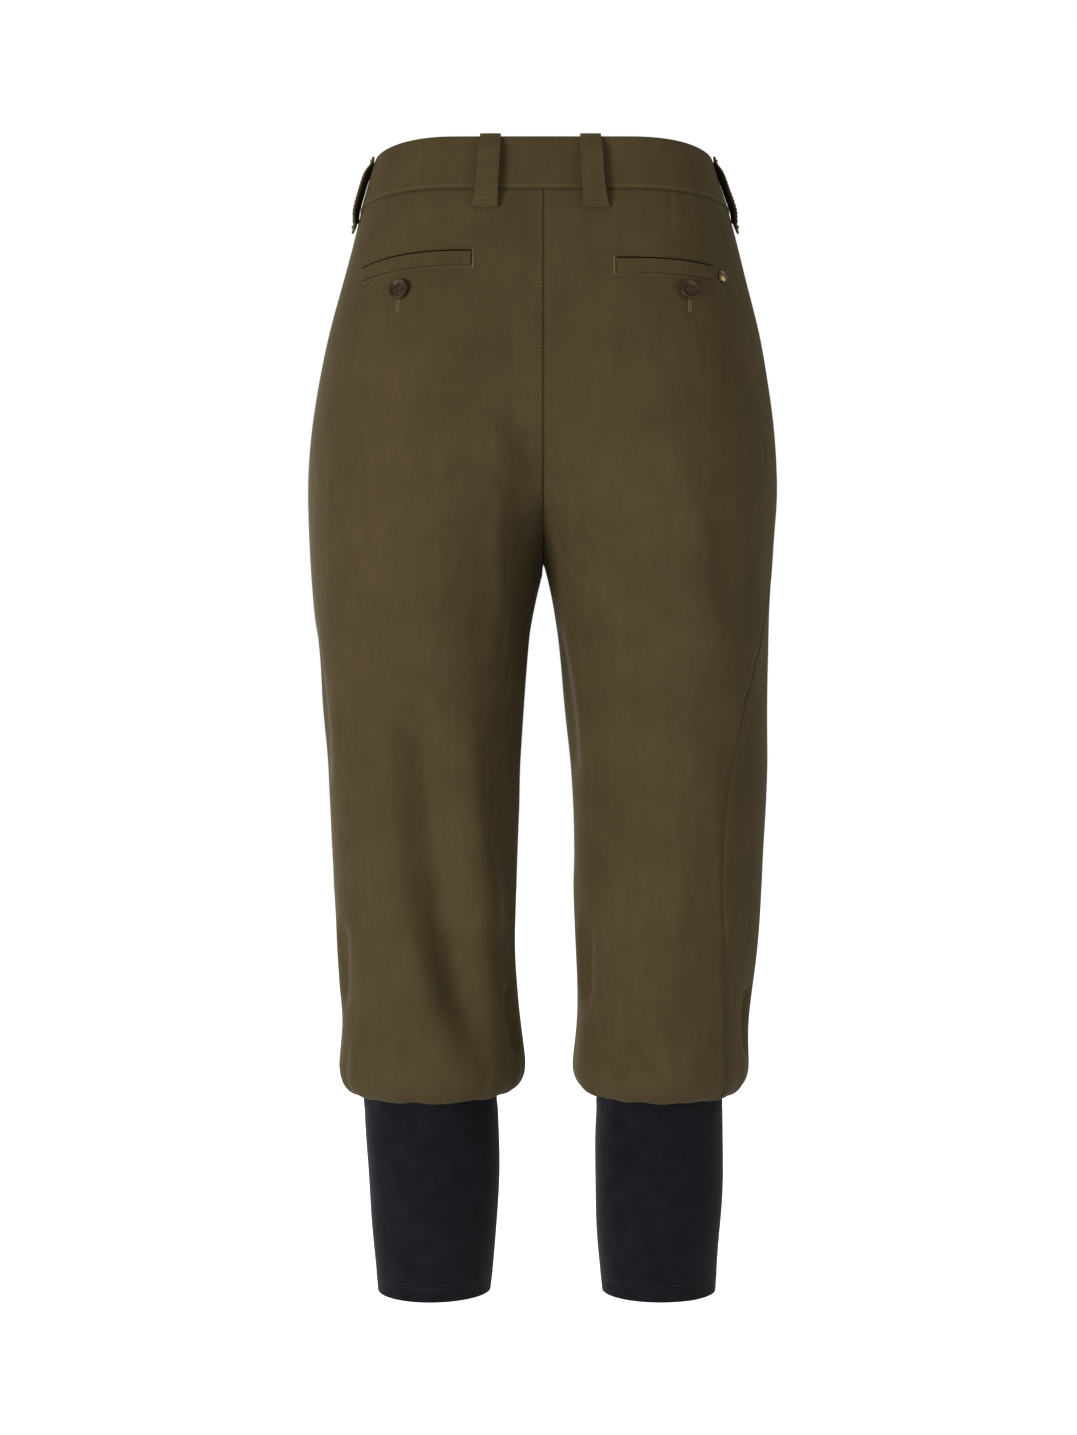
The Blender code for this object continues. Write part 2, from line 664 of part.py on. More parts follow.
def cuff(side):
    """A stretch tube for the calf. Its top runs up inside the hem that is gathered onto it."""
    word = "left" if side == LEFT else "right"
    shares = column_shares(side, BLOUSE_Z)[:-1]
    outer, inner = [], []
    for z in (-683, -703, -735, -770, -800, -830, -856):
        outer.append(cuff_ring(z, side, shares))
        inner.append(cuff_ring(z, side, shares, -CUFF_WALL))
    wall("cuff_" + word, np.array(outer), np.array(inner), JERSEY, closed=True)


for old in list(bpy.data.objects):
    bpy.data.objects.remove(old, do_unlink=True)
garment = bpy.data.collections.new("knee_breeches")
cutters = bpy.data.collections.new("cutters")
for collection in (garment, cutters):
    bpy.context.scene.collection.children.link(collection)

waistband()
fly_flap()
for leg in (LEFT, RIGHT):
    word = "left" if leg == LEFT else "right"
    panels(leg)
    cuff(leg)
    belt_loop("loop_side_" + word, leg, SIDE_LOOP_AT)
    belt_loop(
        "loop_front_" + word, leg, 2 - FRONT_LOOP_AT / half_length(level_at(0), leg, FRONT)
    )
    button(
        "button_" + word,
        leg,
        seat_share(leg, POCKET_BUTTON_AT, POCKET_BUTTON_Z),
        POCKET_BUTTON_Z,
        POCKET_BUTTON_LIFT,
    )
for loop in BACK_LOOPS:
    word = "left" if loop.side == LEFT else "right"
    belt_loop("loop_back_" + word, loop.side, seat_share(loop.side, loop.along, 0))
for pocket in POCKETS:
    welt(pocket)
button(
    "button_waist", RIGHT, seat_share(RIGHT, WAIST_BUTTON_AT, 0, FRONT), 0, WAIST_BUTTON_LIFT
)
rivet()
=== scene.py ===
"""Knee breeches: olive moleskin legs and seat, bloused onto black stretch calf cuffs."""

from collections import namedtuple
from math import cos, pi, radians, sin

import bmesh
import bpy
import numpy as np
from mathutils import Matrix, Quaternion, Vector, kdtree
from mathutils.bvhtree import BVHTree


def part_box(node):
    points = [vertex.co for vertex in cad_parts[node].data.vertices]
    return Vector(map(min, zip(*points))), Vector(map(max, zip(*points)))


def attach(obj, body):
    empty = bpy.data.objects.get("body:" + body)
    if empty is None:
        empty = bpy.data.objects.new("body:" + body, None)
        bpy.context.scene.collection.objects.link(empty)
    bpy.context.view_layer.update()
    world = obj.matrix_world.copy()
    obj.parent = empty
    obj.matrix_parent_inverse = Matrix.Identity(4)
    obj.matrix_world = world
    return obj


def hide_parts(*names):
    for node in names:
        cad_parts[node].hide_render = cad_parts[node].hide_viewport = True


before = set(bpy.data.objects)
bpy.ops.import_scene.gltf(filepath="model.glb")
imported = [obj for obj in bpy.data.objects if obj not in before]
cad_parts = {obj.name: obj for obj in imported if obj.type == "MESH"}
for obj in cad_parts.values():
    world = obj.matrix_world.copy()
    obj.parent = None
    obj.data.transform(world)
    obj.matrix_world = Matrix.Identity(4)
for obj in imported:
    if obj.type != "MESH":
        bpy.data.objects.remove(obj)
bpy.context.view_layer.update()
# The scene is in metres. What is multiplied by MM, and the points of a route, are millimetres.
MM = 0.001


# ---- Moleskin
# The legs, seat, waistband, loops, welts and fly are cut from one cotton: a dense sateen whose
# face is shorn to a short suede nap. It is matt and dusty where it turns away, the nap lies in
# soft patches, and the fine cross threads show as faint slubs.
def linear(hex_colour):
    """The linear RGBA of an sRGB hex colour."""
    channels = [int(hex_colour[i : i + 2], 16) / 255 for i in (1, 3, 5)]
    return [c / 12.92 if c <= 0.04045 else ((c + 0.055) / 1.055) ** 2.4 for c in channels] + [1.0]


def add_node(tree, kind, settings=(), inputs=()):
    """Adds a node, sets its properties, and sets or links its inputs."""
    node = tree.nodes.new("ShaderNode" + kind)
    for name, value in dict(settings).items():
        setattr(node, name, value)
    for name, value in dict(inputs).items():
        if isinstance(value, bpy.types.NodeSocket):
            tree.links.new(value, node.inputs[name])
        else:
            node.inputs[name].default_value = value
    return node


def new_material(name, roughness, specular=0.5):
    """An empty Principled material, its tree and its shader."""
    made = bpy.data.materials.new(name)
    made.use_nodes = True
    shader = made.node_tree.nodes["Principled BSDF"]
    shader.inputs["Roughness"].default_value = roughness
    shader.inputs["Specular IOR Level"].default_value = specular
    return made, made.node_tree, shader


NAP_PATCH = 42
NAP_STREAK = 9
LENGTHWISE = 0.22
FIBRE = 0.9
CROSS_THREAD = 1.6
# A wave texture at a scale of 1 repeats after this many metres.
WAVE = 0.314
# How far the painted shadow down in a seam darkens the cloth's colour.
SEAM_SHADOW_STRENGTH = 0.12


def moleskin(name, base, light, dark):
    """The cloth: the nap's patches and streaks, fibres, threads, and painted shadow in the seams."""
    made, tree, shader = new_material(name, roughness=0.92, specular=0.12)
    shader.inputs["Sheen Weight"].default_value = 0.14
    shader.inputs["Sheen Roughness"].default_value = 0.45
    shader.inputs["Sheen Tint"].default_value = linear("#a89a78")
    place = add_node(tree, "TexCoord").outputs["Object"]
    patches = add_node(
        tree, "TexNoise", inputs={"Vector": place, "Scale": 1 / (NAP_PATCH * MM), "Detail": 3.0}
    )
    drawn_out = add_node(
        tree, "Mapping", inputs={"Vector": place, "Scale": (1.0, 1.0, LENGTHWISE)}
    )
    streaks = add_node(
        tree,
        "TexNoise",
        inputs={
            "Vector": drawn_out.outputs["Vector"],
            "Scale": 1 / (NAP_STREAK * MM),
            "Detail": 4.0,
            "Roughness": 0.6,
        },
    )
    fibres = add_node(
        tree,
        "TexNoise",
        inputs={"Vector": place, "Scale": 1 / (FIBRE * MM), "Detail": 3.0, "Roughness": 0.7},
    )
    threads = add_node(
        tree,
        "TexWave",
        settings={"wave_type": "BANDS", "bands_direction": "Z", "wave_profile": "SIN"},
        inputs={
            "Vector": place,
            "Scale": WAVE / (CROSS_THREAD * MM),
            "Distortion": 3.0,
            "Detail": 2.0,
            "Detail Scale": 3.0,
        },
    )
    patch_share = add_node(
        tree,
        "MapRange",
        inputs={
            "Value": patches.outputs["Fac"],
            "From Min": 0.32,
            "From Max": 0.68,
        },
    )
    patchy = add_node(
        tree,
        "Mix",
        settings={"data_type": "RGBA"},
        inputs={"Factor": patch_share.outputs["Result"]},
    )
    patchy.inputs[6].default_value = linear(base)
    patchy.inputs[7].default_value = linear(light)
    streak_share = add_node(
        tree,
        "MapRange",
        inputs={
            "Value": streaks.outputs["Fac"],
            "From Min": 0.35,
            "From Max": 0.75,
            "To Max": 0.35,
        },
    )
    streaky = add_node(
        tree,
        "Mix",
        settings={"data_type": "RGBA"},
        inputs={"Factor": streak_share.outputs["Result"]},
    )
    tree.links.new(patchy.outputs[2], streaky.inputs[6])
    streaky.inputs[7].default_value = linear(dark)
    speckle = add_node(
        tree,
        "MapRange",
        inputs={
            "Value": fibres.outputs["Fac"],
            "From Min": 0.3,
            "From Max": 0.7,
            "To Min": 0.88,
            "To Max": 1.12,
        },
    )
    # Painted shadow: the colour is darkened down in each seam, where the cloth dips.
    seam_shadow_mask = add_node(tree, "Attribute", settings={"attribute_name": "painted_seam_shadow"})
    seam_shadowed = add_node(
        tree,
        "Math",
        settings={"operation": "MULTIPLY_ADD"},
        inputs={0: seam_shadow_mask.outputs["Fac"], 1: -SEAM_SHADOW_STRENGTH, 2: 1.0},
    )
    shade = add_node(
        tree,
        "Math",
        settings={"operation": "MULTIPLY"},
        inputs={0: speckle.outputs["Result"], 1: seam_shadowed.outputs["Value"]},
    )
    colour = add_node(
        tree,
        "VectorMath",
        settings={"operation": "SCALE"},
        inputs={0: streaky.outputs[2], "Scale": shade.outputs["Value"]},
    )
    tree.links.new(colour.outputs["Vector"], shader.inputs["Base Color"])
    relief = add_node(
        tree,
        "Math",
        settings={"operation": "MULTIPLY_ADD"},
        inputs={0: threads.outputs["Fac"], 1: 0.35, 2: fibres.outputs["Fac"]},
    )
    bump = add_node(
        tree,
        "Bump",
        inputs={"Height": relief.outputs["Value"], "Strength": 0.35, "Distance": 0.3 * MM},
    )
    soft = add_node(
        tree,
        "Bump",
        inputs={
            "Height": streaks.outputs["Fac"],
            "Strength": 0.25,
            "Distance": 1.5 * MM,
            "Normal": bump.outputs["Normal"],
        },
    )
    tree.links.new(soft.outputs["Normal"], shader.inputs["Normal"])
    return made


cloth_finish = moleskin("shorn_moleskin", base="#56492d", light="#5e5033", dark="#473b23")


# ---- Legs and seat
# Two backs and two fronts, sewn at the centre seams, the side seams and the inseams. The cloth
# hangs from the waistband, falls in long soft folds behind the thighs and knees, and is
# gathered in and turned under above the calf cuffs.
def deselect_all():
    bpy.ops.object.select_all(action="DESELECT")


def make_active(obj, *others):
    """Selects these objects only and makes the first one active."""
    deselect_all()
    for one in (obj, *others):
        one.select_set(True)
    bpy.context.view_layer.objects.active = obj


def copy_of_node(node, name):
    """A loose copy of a frame solid, its triangles sewn together and turned into quads."""
    made = bpy.data.objects.new(name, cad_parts[node].data.copy())
    bpy.context.scene.collection.objects.link(made)
    make_active(made)
    bpy.ops.object.mode_set(mode="EDIT")
    bpy.ops.mesh.select_all(action="SELECT")
    bpy.ops.mesh.remove_doubles(threshold=0.02 * MM)
    bpy.ops.mesh.customdata_custom_splitnormals_clear()
    bpy.ops.mesh.tris_convert_to_quads(face_threshold=pi, shape_threshold=pi)
    bpy.ops.mesh.select_all(action="DESELECT")
    bpy.ops.object.mode_set(mode="OBJECT")
    made.data.shade_smooth()
    return made


def apply_modifier(obj, kind, **settings):
    """Adds a modifier, sets it and applies it."""
    make_active(obj)
    modifier = obj.modifiers.new(kind.lower(), kind)
    for name, value in settings.items():
        setattr(modifier, name, value)
    bpy.ops.object.modifier_apply(modifier=modifier.name)


def surface_of(obj):
    """A search tree of an object's faces, in metres."""
    return BVHTree.FromPolygons(
        [vertex.co[:] for vertex in obj.data.vertices],
        [face.vertices[:] for face in obj.data.polygons],
    )


# Each panel's outer skin is kept, and the four are sewn into one, so that the creases can run on
# across the seams. The skin gets its wall again when it is cut back into panels.
RIM_ANGLE = 55
WELD = 0.45
skins = []
for panel in ("back_left", "back_right", "front_left", "front_right"):
    skin = copy_of_node(panel, panel + "_cloth")
    faces = skin.data.polygons
    outermost = max(faces, key=lambda face: abs(face.center.y) if abs(face.normal.y) > 0.5 else 0)
    outermost.select = True
    faces.active = outermost.index
    bpy.ops.object.mode_set(mode="EDIT")
    bpy.ops.mesh.select_mode(type="FACE")
    bpy.ops.mesh.faces_select_linked_flat(sharpness=radians(RIM_ANGLE))
    bpy.ops.mesh.select_all(action="INVERT")
    bpy.ops.mesh.delete(type="FACE")
    bpy.ops.mesh.select_all(action="SELECT")
    bpy.ops.mesh.region_to_loop()
    bpy.ops.mesh.mark_seam()
    bpy.ops.object.mode_set(mode="OBJECT")
    skin.data.materials.clear()
    skin.data.materials.append(bpy.data.materials.new(panel))
    skins.append(skin)

make_active(*skins)
bpy.ops.object.join()
legs = bpy.context.view_layer.objects.active
bpy.ops.object.mode_set(mode="EDIT")
bpy.ops.mesh.select_mode(type="VERT")
bpy.ops.mesh.select_all(action="SELECT")
bpy.ops.mesh.remove_doubles(threshold=WELD * MM)
bpy.ops.object.mode_set(mode="OBJECT")
apply_modifier(legs, "SUBSURF", levels=3, render_levels=3)

count = len(legs.data.vertices)
points = np.empty(count * 3)
legs.data.vertices.foreach_get("co", points)
points = points.reshape(-1, 3) / MM


def normals_of(mesh):
    found = np.empty(len(mesh.vertices) * 3)
    mesh.vertices.foreach_get("normal", found)
    return found.reshape(-1, 3)


normals = normals_of(legs.data)


def fade(t):
    """0 to 1 as t goes from 0 to 1, flat at both ends."""
    t = np.clip(t, 0, 1)
    return t * t * (3 - 2 * t)


def along_path(path, flat):
    """Distance of flat points to a smooth path, the side they lie on, and how far along."""
    path = np.array(path, float)
    fine = np.linspace(0, len(path) - 1, 10 * (len(path) - 1) + 1)
    knots = np.arange(len(path))
    path = np.column_stack([np.interp(fine, knots, path[:, k]) for k in (0, 1)])
    for _ in range(6):
        path[1:-1] = (path[:-2] + 2 * path[1:-1] + path[2:]) / 4
    length = np.append(0, np.cumsum(np.linalg.norm(np.diff(path, axis=0), axis=1)))
    best = np.full(len(flat), 1e9)
    side = np.zeros(len(flat))
    along = np.zeros(len(flat))
    for a, b, start in zip(path[:-1], path[1:], length):
        step = b - a
        t = np.clip((flat - a) @ step / (step @ step), 0, 1)
        away = flat - a - t[:, None] * step
        gap = np.linalg.norm(away, axis=1)
        nearer = gap < best
        best[nearer] = gap[nearer]
        side[nearer] = np.sign(step[0] * away[nearer, 1] - step[1] * away[nearer, 0])
        along[nearer] = (start + t[nearer] * np.linalg.norm(step)) / length[-1]
    return best * side, along, length[-1]


# A row per crease. face says which way the cloth there looks, and path is a list of (across, z)
# in millimetres seen from that side: x for back and front, y for left and right. depth is in,
# so ridges are negative. lean throws up a low ridge on one side, as pushed cloth does.
Crease = namedtuple("Crease", "face path width depth lean")
CREASES = [
    # Behind the left leg: the long fold down to the knee, the slack roll inside it, and the
    # hollow between that roll and the inseam.
    Crease("back", [(98, -372), (91, -442), (83, -503), (72, -568), (58, -628), (38, -668)], 17, 11.5, 0.3),
    Crease("back", [(60, -400), (52, -470), (46, -520), (36, -590)], 14, -6.0, 0),
    Crease("back", [(34, -420), (42, -480), (30, -531), (24, -583), (21, -628)], 7, 3.2, -0.4),
    Crease("back", [(122, -400), (118, -500), (110, -570), (96, -630)], 15, -3.4, 0),
    Crease("back", [(10, -250), (18, -284), (19, -330), (25, -392)], 7, 4.4, 0),
    Crease("back", [(30, -236), (35, -270), (33, -320), (40, -380)], 8, -2.6, 0),
    Crease("back", [(116, -600), (104, -640), (96, -676)], 9, 2.0, 0.3),
    # Behind the right leg: the fold from the hip down the outer thigh, the pull from the seat
    # to the inseam, and the slack at the knee.
    Crease("back", [(-98, -190), (-114, -290), (-132, -380)], 22, -5.0, 0),
    Crease("back", [(-124, -240), (-134, -300), (-146, -362)], 12, 3.6, 0),
    Crease("back", [(-88, -262), (-66, -310), (-42, -356)], 13, -2.4, 0),
    Crease("back", [(-82, -500), (-72, -555), (-62, -598)], 10, 3.2, 0.4),
    Crease("back", [(-106, -500), (-96, -600)], 13, -2.4, 0),
    Crease("back", [(-30, -640), (-62, -684)], 9, 4.6, 0.4),
    Crease("back", [(-56, -632), (-94, -684)], 9, 4.4, 0.4),
    Crease("back", [(-82, -622), (-86, -668)], 8, -2.0, 0),
    Crease("right", [(26, -612), (24, -650), (18, -674)], 6, 6.8, 0),
    # Seat: fullness low down beside the seam, pulls that run up and out from the crotch, and
    # small puckers by the seam.
    Crease("back", [(24, -188), (36, -232), (34, -262)], 19, -5.5, 0),
    Crease("back", [(-26, -195), (-36, -238), (-34, -262)], 18, -3.0, 0),
    Crease("back", [(6, -252), (28, -240), (62, -226)], 7, 1.5, 0.4),
    Crease("back", [(-6, -254), (-26, -242), (-52, -230)], 7, 1.4, -0.4),
    Crease("back", [(8, -230), (20, -205), (30, -175)], 9, 1.1, 0.3),
    Crease("back", [(-11, -178), (-20, -188)], 4, 1.0, 0),
    Crease("back", [(-9, -192), (-22, -204)], 4, 0.8, 0),
    # Outer sides: slack above the knees and under the hips.
    Crease("left", [(10, -330), (24, -400), (14, -470)], 14, 3.8, 0.3),
    Crease("left", [(-30, -520), (-14, -590), (-24, -650)], 12, 4.9, 0.4),
    Crease("left", [(34, -560), (26, -640)], 9, 3.8, -0.4),
    Crease("right", [(-8, -320), (-22, -410), (-12, -480)], 14, 3.7, 0.3),
    Crease("right", [(-36, -500), (-22, -580), (-34, -655)], 12, 4.1, -0.4),
    # Front: short pulls out from the crotch, the slack over each knee, and the blouse.
    Crease("front", [(6, -236), (34, -222), (72, -196)], 8, 3.8, 0.4),
    Crease("front", [(8, -250), (40, -252), (80, -236)], 8, 3.5, 0.4),
    Crease("front", [(-6, -232), (-30, -216), (-60, -186)], 8, 3.5, -0.4),
    Crease("front", [(-8, -250), (-44, -254), (-88, -242)], 8, 3.8, -0.4),
    Crease("front", [(60, -330), (76, -420), (70, -500)], 15, -4.8, 0),
    Crease("front", [(112, -400), (104, -490), (112, -580)], 15, 5.1, 0.3),
    Crease("front", [(40, -480), (52, -560), (44, -640)], 12, 4.5, -0.4),
    Crease("front", [(92, -560), (84, -630), (94, -676)], 10, 3.8, 0.4),
    Crease("front", [(-66, -340), (-82, -430), (-72, -520)], 15, -4.5, 0),
    Crease("front", [(-120, -380), (-110, -470), (-120, -560)], 15, 4.8, -0.3),
    Crease("front", [(-46, -460), (-40, -540), (-52, -620)], 12, 4.2, 0.4),
    Crease("front", [(-100, -590), (-92, -640), (-104, -678)], 10, 4.2, 0.4),
    # Darts, sewn in from under the band.
    Crease("back", [(95, -16), (96, -62)], 2.2, 0.9, 0),
    Crease("back", [(-94, -16), (-94, -62)], 2.2, 0.9, 0),
]

LIP_AWAY = 1.7
LIP_HIGH = 0.55
SHORT_END = 0.12
LONG_END = 0.35
END_WIDTHS = 1.6
TURN_AWAY = 2.2
push = np.zeros(count)
for crease in CREASES:
    across = 0 if crease.face in ("back", "front") else 1
    flat = points[:, (across, 2)]
    looking = {
        "back": normals[:, 1],
        "front": -normals[:, 1],
        "left": normals[:, 0],
        "right": -normals[:, 0],
    }[crease.face]
    away, along, long = along_path(crease.path, flat)
    near = np.exp(-((away / crease.width) ** 2))
    from_lip = away - LIP_AWAY * crease.width * np.sign(crease.lean)
    lip = crease.lean * np.exp(-((from_lip / crease.width) ** 2))
    end = min(LONG_END, END_WIDTHS * crease.width / long + SHORT_END)
    ends = fade(along / end) * fade((1 - along) / end)
    push += crease.depth * (near - abs(lip) * LIP_HIGH) * ends * fade(looking * TURN_AWAY)

points -= normals * push[:, None]

# Hem gathers: the cloth is eased onto the cuff in uneven little folds all round each leg. A row
# is the angle round the leg from its outer side towards the back, the width in degrees, the depth,
# and how far the fold runs up, in millimetres. The left leg is 1 and the right leg -1.
Gather = namedtuple("Gather", "angle width depth up")
GATHERS = {
    1: [
        Gather(8, 9, 0.9, 46), Gather(31, 6, 1.6, 34), Gather(54, 10, 0.8, 58),
        Gather(83, 7, 1.5, 44), Gather(118, 8, 1.0, 62), Gather(127, 5, 1.2, 30),
        Gather(152, 9, 1.3, 52), Gather(171, 6, 0.8, 30), Gather(204, 8, 1.6, 56),
        Gather(219, 6, 0.9, 34), Gather(246, 9, 1.7, 62), Gather(284, 7, 1.3, 50),
        Gather(309, 5, 1.0, 32), Gather(337, 8, 1.5, 54),
    ],
    -1: [
        Gather(15, 8, 1.4, 50), Gather(34, 6, 0.9, 30), Gather(61, 9, 1.2, 40),
        Gather(79, 6, 0.8, 56), Gather(104, 7, 1.4, 44), Gather(128, 9, 1.0, 48),
        Gather(141, 5, 1.4, 36), Gather(174, 9, 1.1, 58), Gather(204, 7, 1.5, 44),
        Gather(231, 9, 1.7, 60), Gather(258, 6, 1.0, 34), Gather(273, 8, 1.5, 48),
        Gather(309, 7, 1.2, 58), Gather(344, 8, 1.5, 32),
    ],
}
LEG_AXIS = 89
HEM_TOP = -679
GATHERS_BELOW = -560
for side, gathers in GATHERS.items():
    on_leg = (side * points[:, 0] > 0) & (points[:, 2] < GATHERS_BELOW)
    leg_points = points[on_leg]
    angle = np.degrees(np.arctan2(leg_points[:, 1], side * leg_points[:, 0] - LEG_AXIS)) % 360
    gathered = np.zeros(len(leg_points))
    for gather in gathers:
        gap = (angle - gather.angle + 180) % 360 - 180
        rise = fade((HEM_TOP + gather.up - leg_points[:, 2]) / gather.up)
        gathered += gather.depth * np.exp(-((gap / gather.width) ** 2)) * rise
    points[on_leg] -= normals[on_leg] * gathered[:, None]

# Seams: the cloth dips into each one, swells a little beside it, and is painted with shadow in it.
make_active(legs)
bpy.ops.object.mode_set(mode="EDIT")
bpy.ops.mesh.select_mode(type="EDGE")
bpy.ops.mesh.select_all(action="DESELECT")
bpy.ops.mesh.select_non_manifold()
bpy.ops.mesh.mark_seam(clear=True)
bpy.ops.object.mode_set(mode="OBJECT")
seam_points = {v for edge in legs.data.edges if edge.use_seam for v in edge.vertices}
tree = kdtree.KDTree(len(seam_points))
for index in seam_points:
    tree.insert(points[index], index)
tree.balance()
to_seam = np.array([tree.find(point)[2] for point in points])
SEAM_DIP = 0.42
DIP_WIDE = 1.8
SEAM_SWELL = 0.35
SWELL_AT = 5
SWELL_WIDE = 3
SEAM_SHADOW_WIDE = 1.2
points -= normals * (SEAM_DIP * np.exp(-((to_seam / DIP_WIDE) ** 2)))[:, None]
points += normals * (SEAM_SWELL * np.exp(-(((to_seam - SWELL_AT) / SWELL_WIDE) ** 2)))[:, None]

legs.data.vertices.foreach_set("co", (points * MM).ravel())
# A mask of painted shadow down in each seam, which darkens the cloth's colour.
painted_seam_shadow = legs.data.attributes.new("painted_seam_shadow", "FLOAT", "POINT")
painted_seam_shadow.data.foreach_set("value", np.exp(-((to_seam / SEAM_SHADOW_WIDE) ** 2)))
legs.data.update()

WALL = 2.0
TUCK_IN = 3.6
TUCK_UP = 5.0
TUCK_RISE = 0.4
UNDER_BAND = -29
LEVEL_WITHIN = 0.8


def tuck_under_band(obj):
    """Carries the open top edge in under the waistband, as the seam allowance does."""
    mesh = bmesh.new()
    mesh.from_mesh(obj.data)
    top = [
        edge
        for edge in mesh.edges
        if edge.is_boundary
        and all(v.co.z > UNDER_BAND * MM for v in edge.verts)
        and abs(edge.verts[0].co.z - edge.verts[1].co.z) < LEVEL_WITHIN * MM
    ]
    for inward, up in ((TUCK_IN, TUCK_RISE), (0.0, TUCK_UP)):
        made = bmesh.ops.extrude_edge_only(mesh, edges=top)["geom"]
        top = [item for item in made if isinstance(item, bmesh.types.BMEdge)]
        for vertex in {v for edge in top for v in edge.verts}:
            level = Vector((vertex.co.x, vertex.co.y, 0)).normalized()
            vertex.co -= level * inward * MM
            vertex.co.z += up * MM
    mesh.to_mesh(obj.data)
    mesh.free()


# The cut of each panel, in metres: its greatest width, and its area with the curves cut away.
Cut = namedtuple("Cut", "width area")
legs_surface = surface_of(legs)
make_active(legs)
bpy.ops.object.mode_set(mode="EDIT")
bpy.ops.mesh.select_all(action="SELECT")
bpy.ops.mesh.separate(type="MATERIAL")
bpy.ops.object.mode_set(mode="OBJECT")
for obj in list(bpy.context.selected_objects):
    panel = obj.data.materials[0].name
    obj.name = obj.data.name = panel + "_cloth"
    obj.data.materials.clear()
    obj.data.materials.append(cloth_finish)
    tuck_under_band(obj)
    apply_modifier(obj, "SOLIDIFY", thickness=WALL * MM, offset=-1)
    obj.data.shade_smooth()
    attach(obj, "root")
    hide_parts(panel)


# ---- Seams and stitching
# Core-spun thread a shade lighter than the cloth, in lockstitches a little over 3 mm apart. The
# seat seam is topstitched on the wearer's left, and the front seam below the fly on the right.
THREAD_THICK = 0.42
STITCH_LONG = 2.5
STITCH_PITCH = 3.2
PLY = 0.5
thread_finish, tree, shader = new_material("core_spun_thread", roughness=0.6, specular=0.3)
shader.inputs["Base Color"].default_value = linear("#877549")
place = add_node(tree, "TexCoord").outputs["Object"]
twist = add_node(
    tree, "TexNoise", inputs={"Vector": place, "Scale": 1 / (PLY * MM), "Detail": 2.0}
)
ply = add_node(
    tree,
    "Bump",
    inputs={"Height": twist.outputs["Fac"], "Strength": 0.5, "Distance": 0.1 * MM},
)
tree.links.new(ply.outputs["Normal"], shader.inputs["Normal"])


# How far out a search for the cloth's surface starts, in metres.
OUTSIDE = 0.5


def on_cloth(across, z, facing=1, surface=None, lift=0.0):
    """The point of the cloth behind (facing 1) or before (-1) a place, in millimetres."""
    start = Vector((across * MM, facing * OUTSIDE, z * MM))
    place, normal, _, _ = (surface or legs_surface).ray_cast(start, Vector((0, -facing, 0)))
    return (place + normal * lift * MM) / MM


def curve_through(name, route, thick=0.0):
    """A curve through points in millimetres, round if it has a thickness."""
    data = bpy.data.curves.new(name, "CURVE")
    data.dimensions = "3D"
    data.bevel_depth = thick / 2 * MM
    data.bevel_resolution = 2
    data.use_fill_caps = thick > 0
    spline = data.splines.new("POLY")
    spline.points.add(len(route) - 1)
    for point, place in zip(spline.points, route):
        point.co = (*(Vector(place) * MM), 1)
    made = bpy.data.objects.new(name, data)
    bpy.context.scene.collection.objects.link(made)
    return made


def stitch_run(name, route, long=STITCH_LONG, wide=THREAD_THICK, pitch=STITCH_PITCH):
    """A row of stitches along a route: one stitch, drawn out of a bead, repeated and bent."""
    guide = curve_through(name + "_route", route)
    deselect_all()
    bpy.ops.mesh.primitive_uv_sphere_add(segments=6, ring_count=4, radius=0.5 * MM)
    stitch = bpy.context.object
    stitch.name = stitch.data.name = name
    bpy.ops.object.mode_set(mode="EDIT")
    bpy.ops.transform.resize(value=(long, wide, THREAD_THICK))
    bpy.ops.transform.translate(value=(pitch / 2 * MM, 0, 0))
    bpy.ops.object.mode_set(mode="OBJECT")
    apply_modifier(
        stitch,
        "ARRAY",
        fit_type="FIT_CURVE",
        curve=guide,
        use_relative_offset=False,
        use_constant_offset=True,
        constant_offset_displace=(pitch * MM, 0, 0),
    )
    apply_modifier(stitch, "CURVE", object=guide, deform_axis="POS_X")
    bpy.data.objects.remove(guide)
    stitch.data.shade_smooth()
    return stitch


def join_all(name, objects):
    """Joins objects into one with this name."""
    make_active(*objects)
    if len(objects) > 1:
        bpy.ops.object.join()
    joined = bpy.context.view_layer.objects.active
    joined.name = joined.data.name = name
    return joined


def sew_on(name, rows, finish=thread_finish):
    """Joins rows of stitches into one piece that goes with the cloth."""
    joined = join_all(name, rows)
    joined.data.materials.clear()
    joined.data.materials.append(finish)
    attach(joined, "root")
    return joined


THREAD_LIFT = 0.12
BESIDE_SEAM = 2.6
SEAT_ROW_TOP = -22
SEAT_ROW_FOOT = -256
FRONT_ROW_TOP = -180
FRONT_ROW_FOOT = -236
seat_route = [
    on_cloth(BESIDE_SEAM, z, lift=THREAD_LIFT) for z in np.linspace(SEAT_ROW_TOP, SEAT_ROW_FOOT, 60)
]
front_route = [
    on_cloth(-BESIDE_SEAM, z, -1, lift=THREAD_LIFT)
    for z in np.linspace(FRONT_ROW_TOP, FRONT_ROW_FOOT, 16)
]
seat_rows = [stitch_run("seat_row", seat_route), stitch_run("front_row", front_route)]
sew_on("seat_stitches", seat_rows)


# ---- Waistband
# One straight strip of the same cloth, doubled and stiffened, sewn on with a row of stitches
# along its lower edge. Its left end laps over the right at the centre front.
band = copy_of_node("waistband", "waistband_cloth")
apply_modifier(
    band, "BEVEL", width=0.9 * MM, segments=2, limit_method="ANGLE", angle_limit=radians(40)
)
apply_modifier(band, "SUBSURF", levels=2, render_levels=2)


